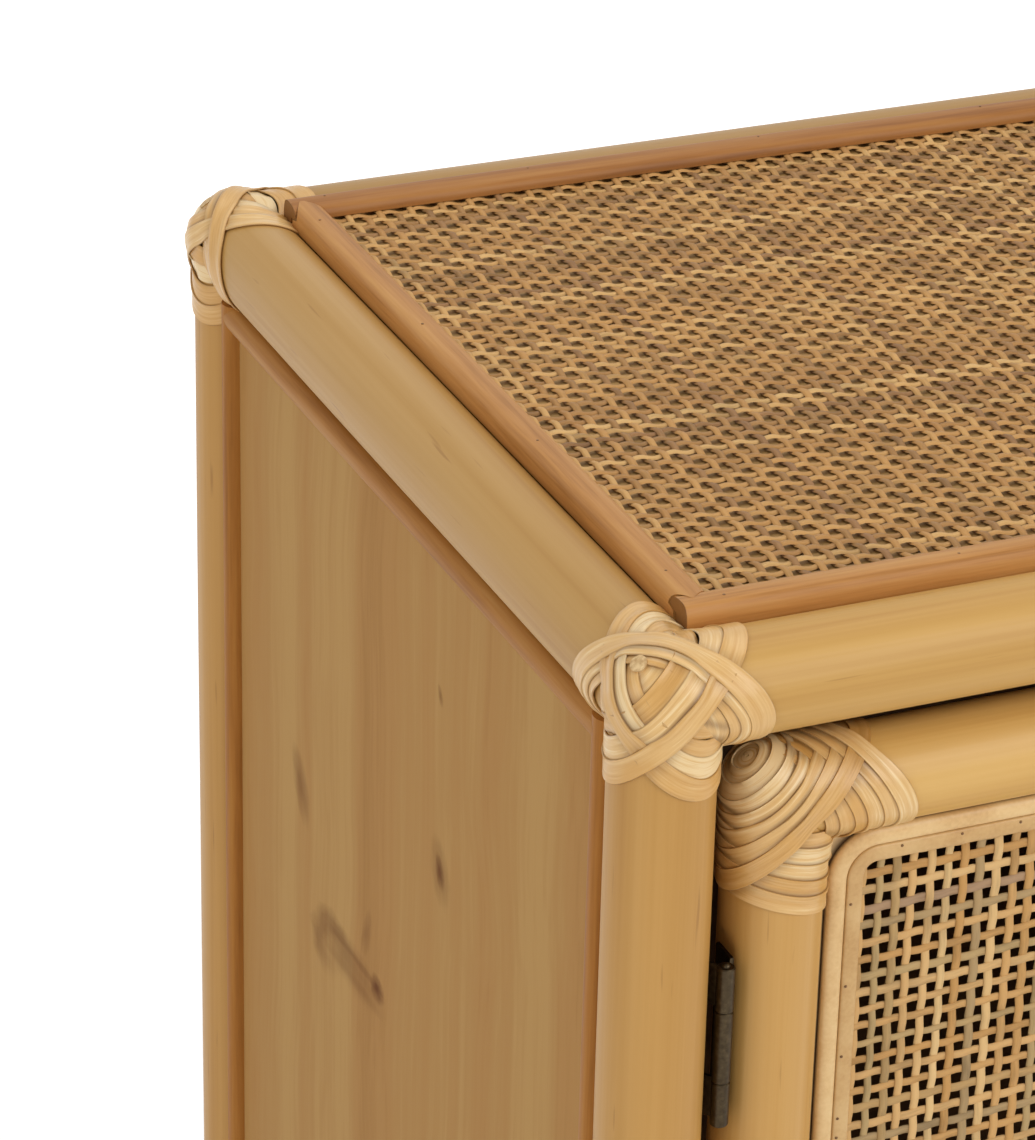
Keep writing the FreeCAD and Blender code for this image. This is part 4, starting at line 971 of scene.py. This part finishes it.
def knuckle(z, half):
    """A rolled knuckle: a round barrel with eased ends about the hinge's axis."""
    end = [(KNUCKLE_R, half - 0.4), (KNUCKLE_R - 0.35, half - 0.05), (0.9, half - 0.05)]
    profile = [(radius, -height) for radius, height in end[::-1]] + end
    return turned(profile, (HINGE_X, HINGE_Y, z), 2, 32)


def leaf_band(line, low, high):
    """Sheet bronze 1.2 mm thick: a line in the level plane, made thick by half of that along
    its normal to each side, carried upright from low to high, with eased ends."""
    ahead = unit(np.gradient(line, axis=0))
    normal = np.stack([-ahead[:, 1], ahead[:, 0]], 1)
    half = np.array([0.42, 0.6, 0.6, 0.42])[:, None, None]
    ring = np.concatenate([line + half * normal, (line - half * normal)[:, ::-1]], 1)
    height = np.array([low, low + 0.25, high - 0.25, high])[:, None, None]
    return np.concatenate([ring, np.broadcast_to(height, (*ring.shape[:2], 1))], 2)


share = np.linspace(0, 1, 5)[:, None]
for level, z in zip(("upper", "lower"), HINGE_Z):
    ends = np.stack([knuckle(z + s * 17.8, 6.8) for s in (-1, 1)])
    put(surface(f"hinge_{level}_post_knuckles.bronze", ends, bronze), "cabinet", "bronze")
    put(surface(f"hinge_{level}_door_knuckle.bronze", knuckle(z, 11)[None], bronze), "door", "bronze")
    pin = turned(PIN_TIPS, (HINGE_X, HINGE_Y, z), 2, 24)
    put(surface(f"hinge_{level}_pin.bronze", pin[None], bronze), "cabinet", "bronze", f"hinge_{level}_pin")
    for part, seat, front, spans, body in LEAVES:
        flat = (1 - share) * (seat, LEAF_BACK_Y) + share * (seat, front)
        leg = (1 - share) * (seat, front + LEAF_TURN) + share * (HINGE_X, LEAF_TURN_Y)
        sheets = [leaf_band(flat, z - LEAF_HALF, z + LEAF_HALF)]
        sheets += [leaf_band(leg, z + low, z + high) for low, high in spans]
        leaf = surface(f"hinge_{level}_{part}_leaf.bronze", np.stack(sheets), bronze)
        put(leaf, body, "bronze", f"hinge_{level}_{part}_leaf")


# Knob: a small wooden knob, turned in one piece, stained and screwed to the latch stile
# from behind.
# the same wood as the strips in closer tones, with upright grain
knob_wood = strip_finish("knob_wood_turned", 2, "#A8733A", "#B47E44", "#BC8849")
KNOB_Y = -160.75
swell = np.linspace(0, np.pi / 2, 12)
profile = [(5.2, 0.0), (6.6, 0.4), (6.2, 2.5), (5.6, 6.0), (6.4, 9.0)]
profile += [(7.6 + 2.9 * np.sin(a), 11.2 + 4.0 - 4.0 * np.cos(a)) for a in swell]
profile += [(10.5 * np.cos(a), 15.2 + 6.8 * np.sin(a)) for a in swell[1:-1]] + [(0.3, 22.0)]
shape = turned([(radius, -height) for radius, height in profile], (STILE_X, KNOB_Y, MIDDLE_Z), 1, 56)
put(surface("door_knob.turned", shape[None], knob_wood, sharp=60), "door", "turned_wood", "door_knob")


# Catch: a magnetic catch of brown plastic under the shelf's edge and its steel strike
# plate on the latch stile.
# moulded plastic with a grit of 1.4 mm, and zinc brushed along the width
catch = speckled("catch_plastic_brown", 0.5, (700, 700, 700), (0.3, "#4A3320"), (0.7, "#5E4630"))
zinc = speckled("steel_plate_zinc", 0.35, (60, 900, 900), (0.3, "#9A9890"), (0.7, "#B8B6AE"), Metallic=0.9)
dress(catch, "catch_body")
dress(zinc, "catch_strike_plate")


# Floor, light and camera: a pale floor that keeps the shadow, three soft panels of light
# and a white room that the camera sees as plain white.
def plainly_seen(tree):
    """One for rays from the camera, from gloss and through glass, nought for other light."""
    rays = add(tree, "LightPath").node.outputs
    seen = add(tree, "Math", (rays["Is Camera Ray"], rays["Is Glossy Ray"]), operation="MAXIMUM")
    return add(tree, "Math", (seen, rays["Is Transmission Ray"]), operation="MAXIMUM")


FLOOR_HALF = 6
corners = [(x * FLOOR_HALF, y * FLOOR_HALF, 0) for x, y in ((-1, -1), (1, -1), (1, 1), (-1, 1))]
floor_mesh = bpy.data.meshes.new("floor")
floor_mesh.from_pydata(corners, [], [(0, 1, 2, 3)])
floor = bpy.data.objects.new("floor", floor_mesh)
bpy.context.scene.collection.objects.link(floor)
# matt paint in two near whites, which glows up to plain white away from the object
paint = speckled("floor_pale_matt", 0.9, (40, 40, 40), (0.3, "#F4F3F1"), (0.7, "#FAF9F7"),
                 Emission_Color=(1, 1, 1, 1))
tree = paint.node_tree
far = add(tree, "VectorMath", (add(tree, "TexCoord", out="Object"),), "Value", operation="LENGTH")
far = add(tree, "MapRange", (far, 0.7, 2.6, 0.4, 1.0))
glow = add(tree, "Math", (plainly_seen(tree), far), operation="MULTIPLY")
fill(tree, tree.nodes["Principled BSDF"], {"Emission Strength": glow})
floor_mesh.materials.append(paint)

world = bpy.data.worlds.new("white_room")
world.use_nodes = True
tree = world.node_tree
level = add(tree, "MapRange", (plainly_seen(tree), 0.0, 1.0, 0.42, 1.0))
fill(tree, tree.nodes["Background"], {"Color": (1, 1, 1, 1), "Strength": level})
bpy.context.scene.world = world

for name, spot, aim, size, power in (("light_front", (0.9, -2.2, 1.7), (0, 0, 0.45), 1.6, 34.0),
                                     ("light_left", (-2.4, -0.6, 1.5), (0, 0, 0.4), 1.8, 20.0),
                                     ("light_top", (0.1, 0.5, 2.6), (0, 0, 0.4), 1.6, 16.0)):
    lamp = bpy.data.lights.new(name, "AREA")
    lamp.shape, lamp.size, lamp.energy = "SQUARE", size, power
    made = bpy.data.objects.new(name, lamp)
    way = np.subtract(aim, spot)
    tilt, turn = math.atan2(math.hypot(way[0], way[1]), -way[2]), math.atan2(way[1], way[0]) - math.pi / 2
    made.location, made.rotation_euler = spot, (tilt, 0, turn)
    bpy.context.scene.collection.objects.link(made)

# the camera fitted to the photo: its focal length in pixels of a frame 1140 high, its place
# in metres, and its turn to the right, down and round in degrees
FOCAL, PHOTO_HIGH, SENSOR = 4616.376, 1140, 36
CAMERA_AT, CAMERA_TURN = (-0.65755, -1.08674, 1.13503), (23.4498, 26.5967, 1.35407)
view = bpy.data.cameras.new("camera")
view.lens, view.sensor_width = SENSOR * FOCAL / PHOTO_HIGH, SENSOR
view.clip_start, view.clip_end = 0.05, 40
camera = bpy.data.objects.new("camera", view)
azimuth, down, roll = np.radians(CAMERA_TURN)
ahead = np.array([np.sin(azimuth) * np.cos(down), np.cos(azimuth) * np.cos(down), -np.sin(down)])
level_x = np.array([np.cos(azimuth), -np.sin(azimuth), 0])
level_y = np.cross(level_x, ahead)
right = np.cos(roll) * level_x + np.sin(roll) * level_y
above = -np.sin(roll) * level_x + np.cos(roll) * level_y
turn = np.eye(4)
turn[:3] = np.stack([right, above, -ahead, CAMERA_AT], 1)
camera.matrix_world = Matrix(turn.tolist())
bpy.context.scene.collection.objects.link(camera)
bpy.context.scene.camera = camera
bpy.context.scene.view_settings.view_transform = "Standard"
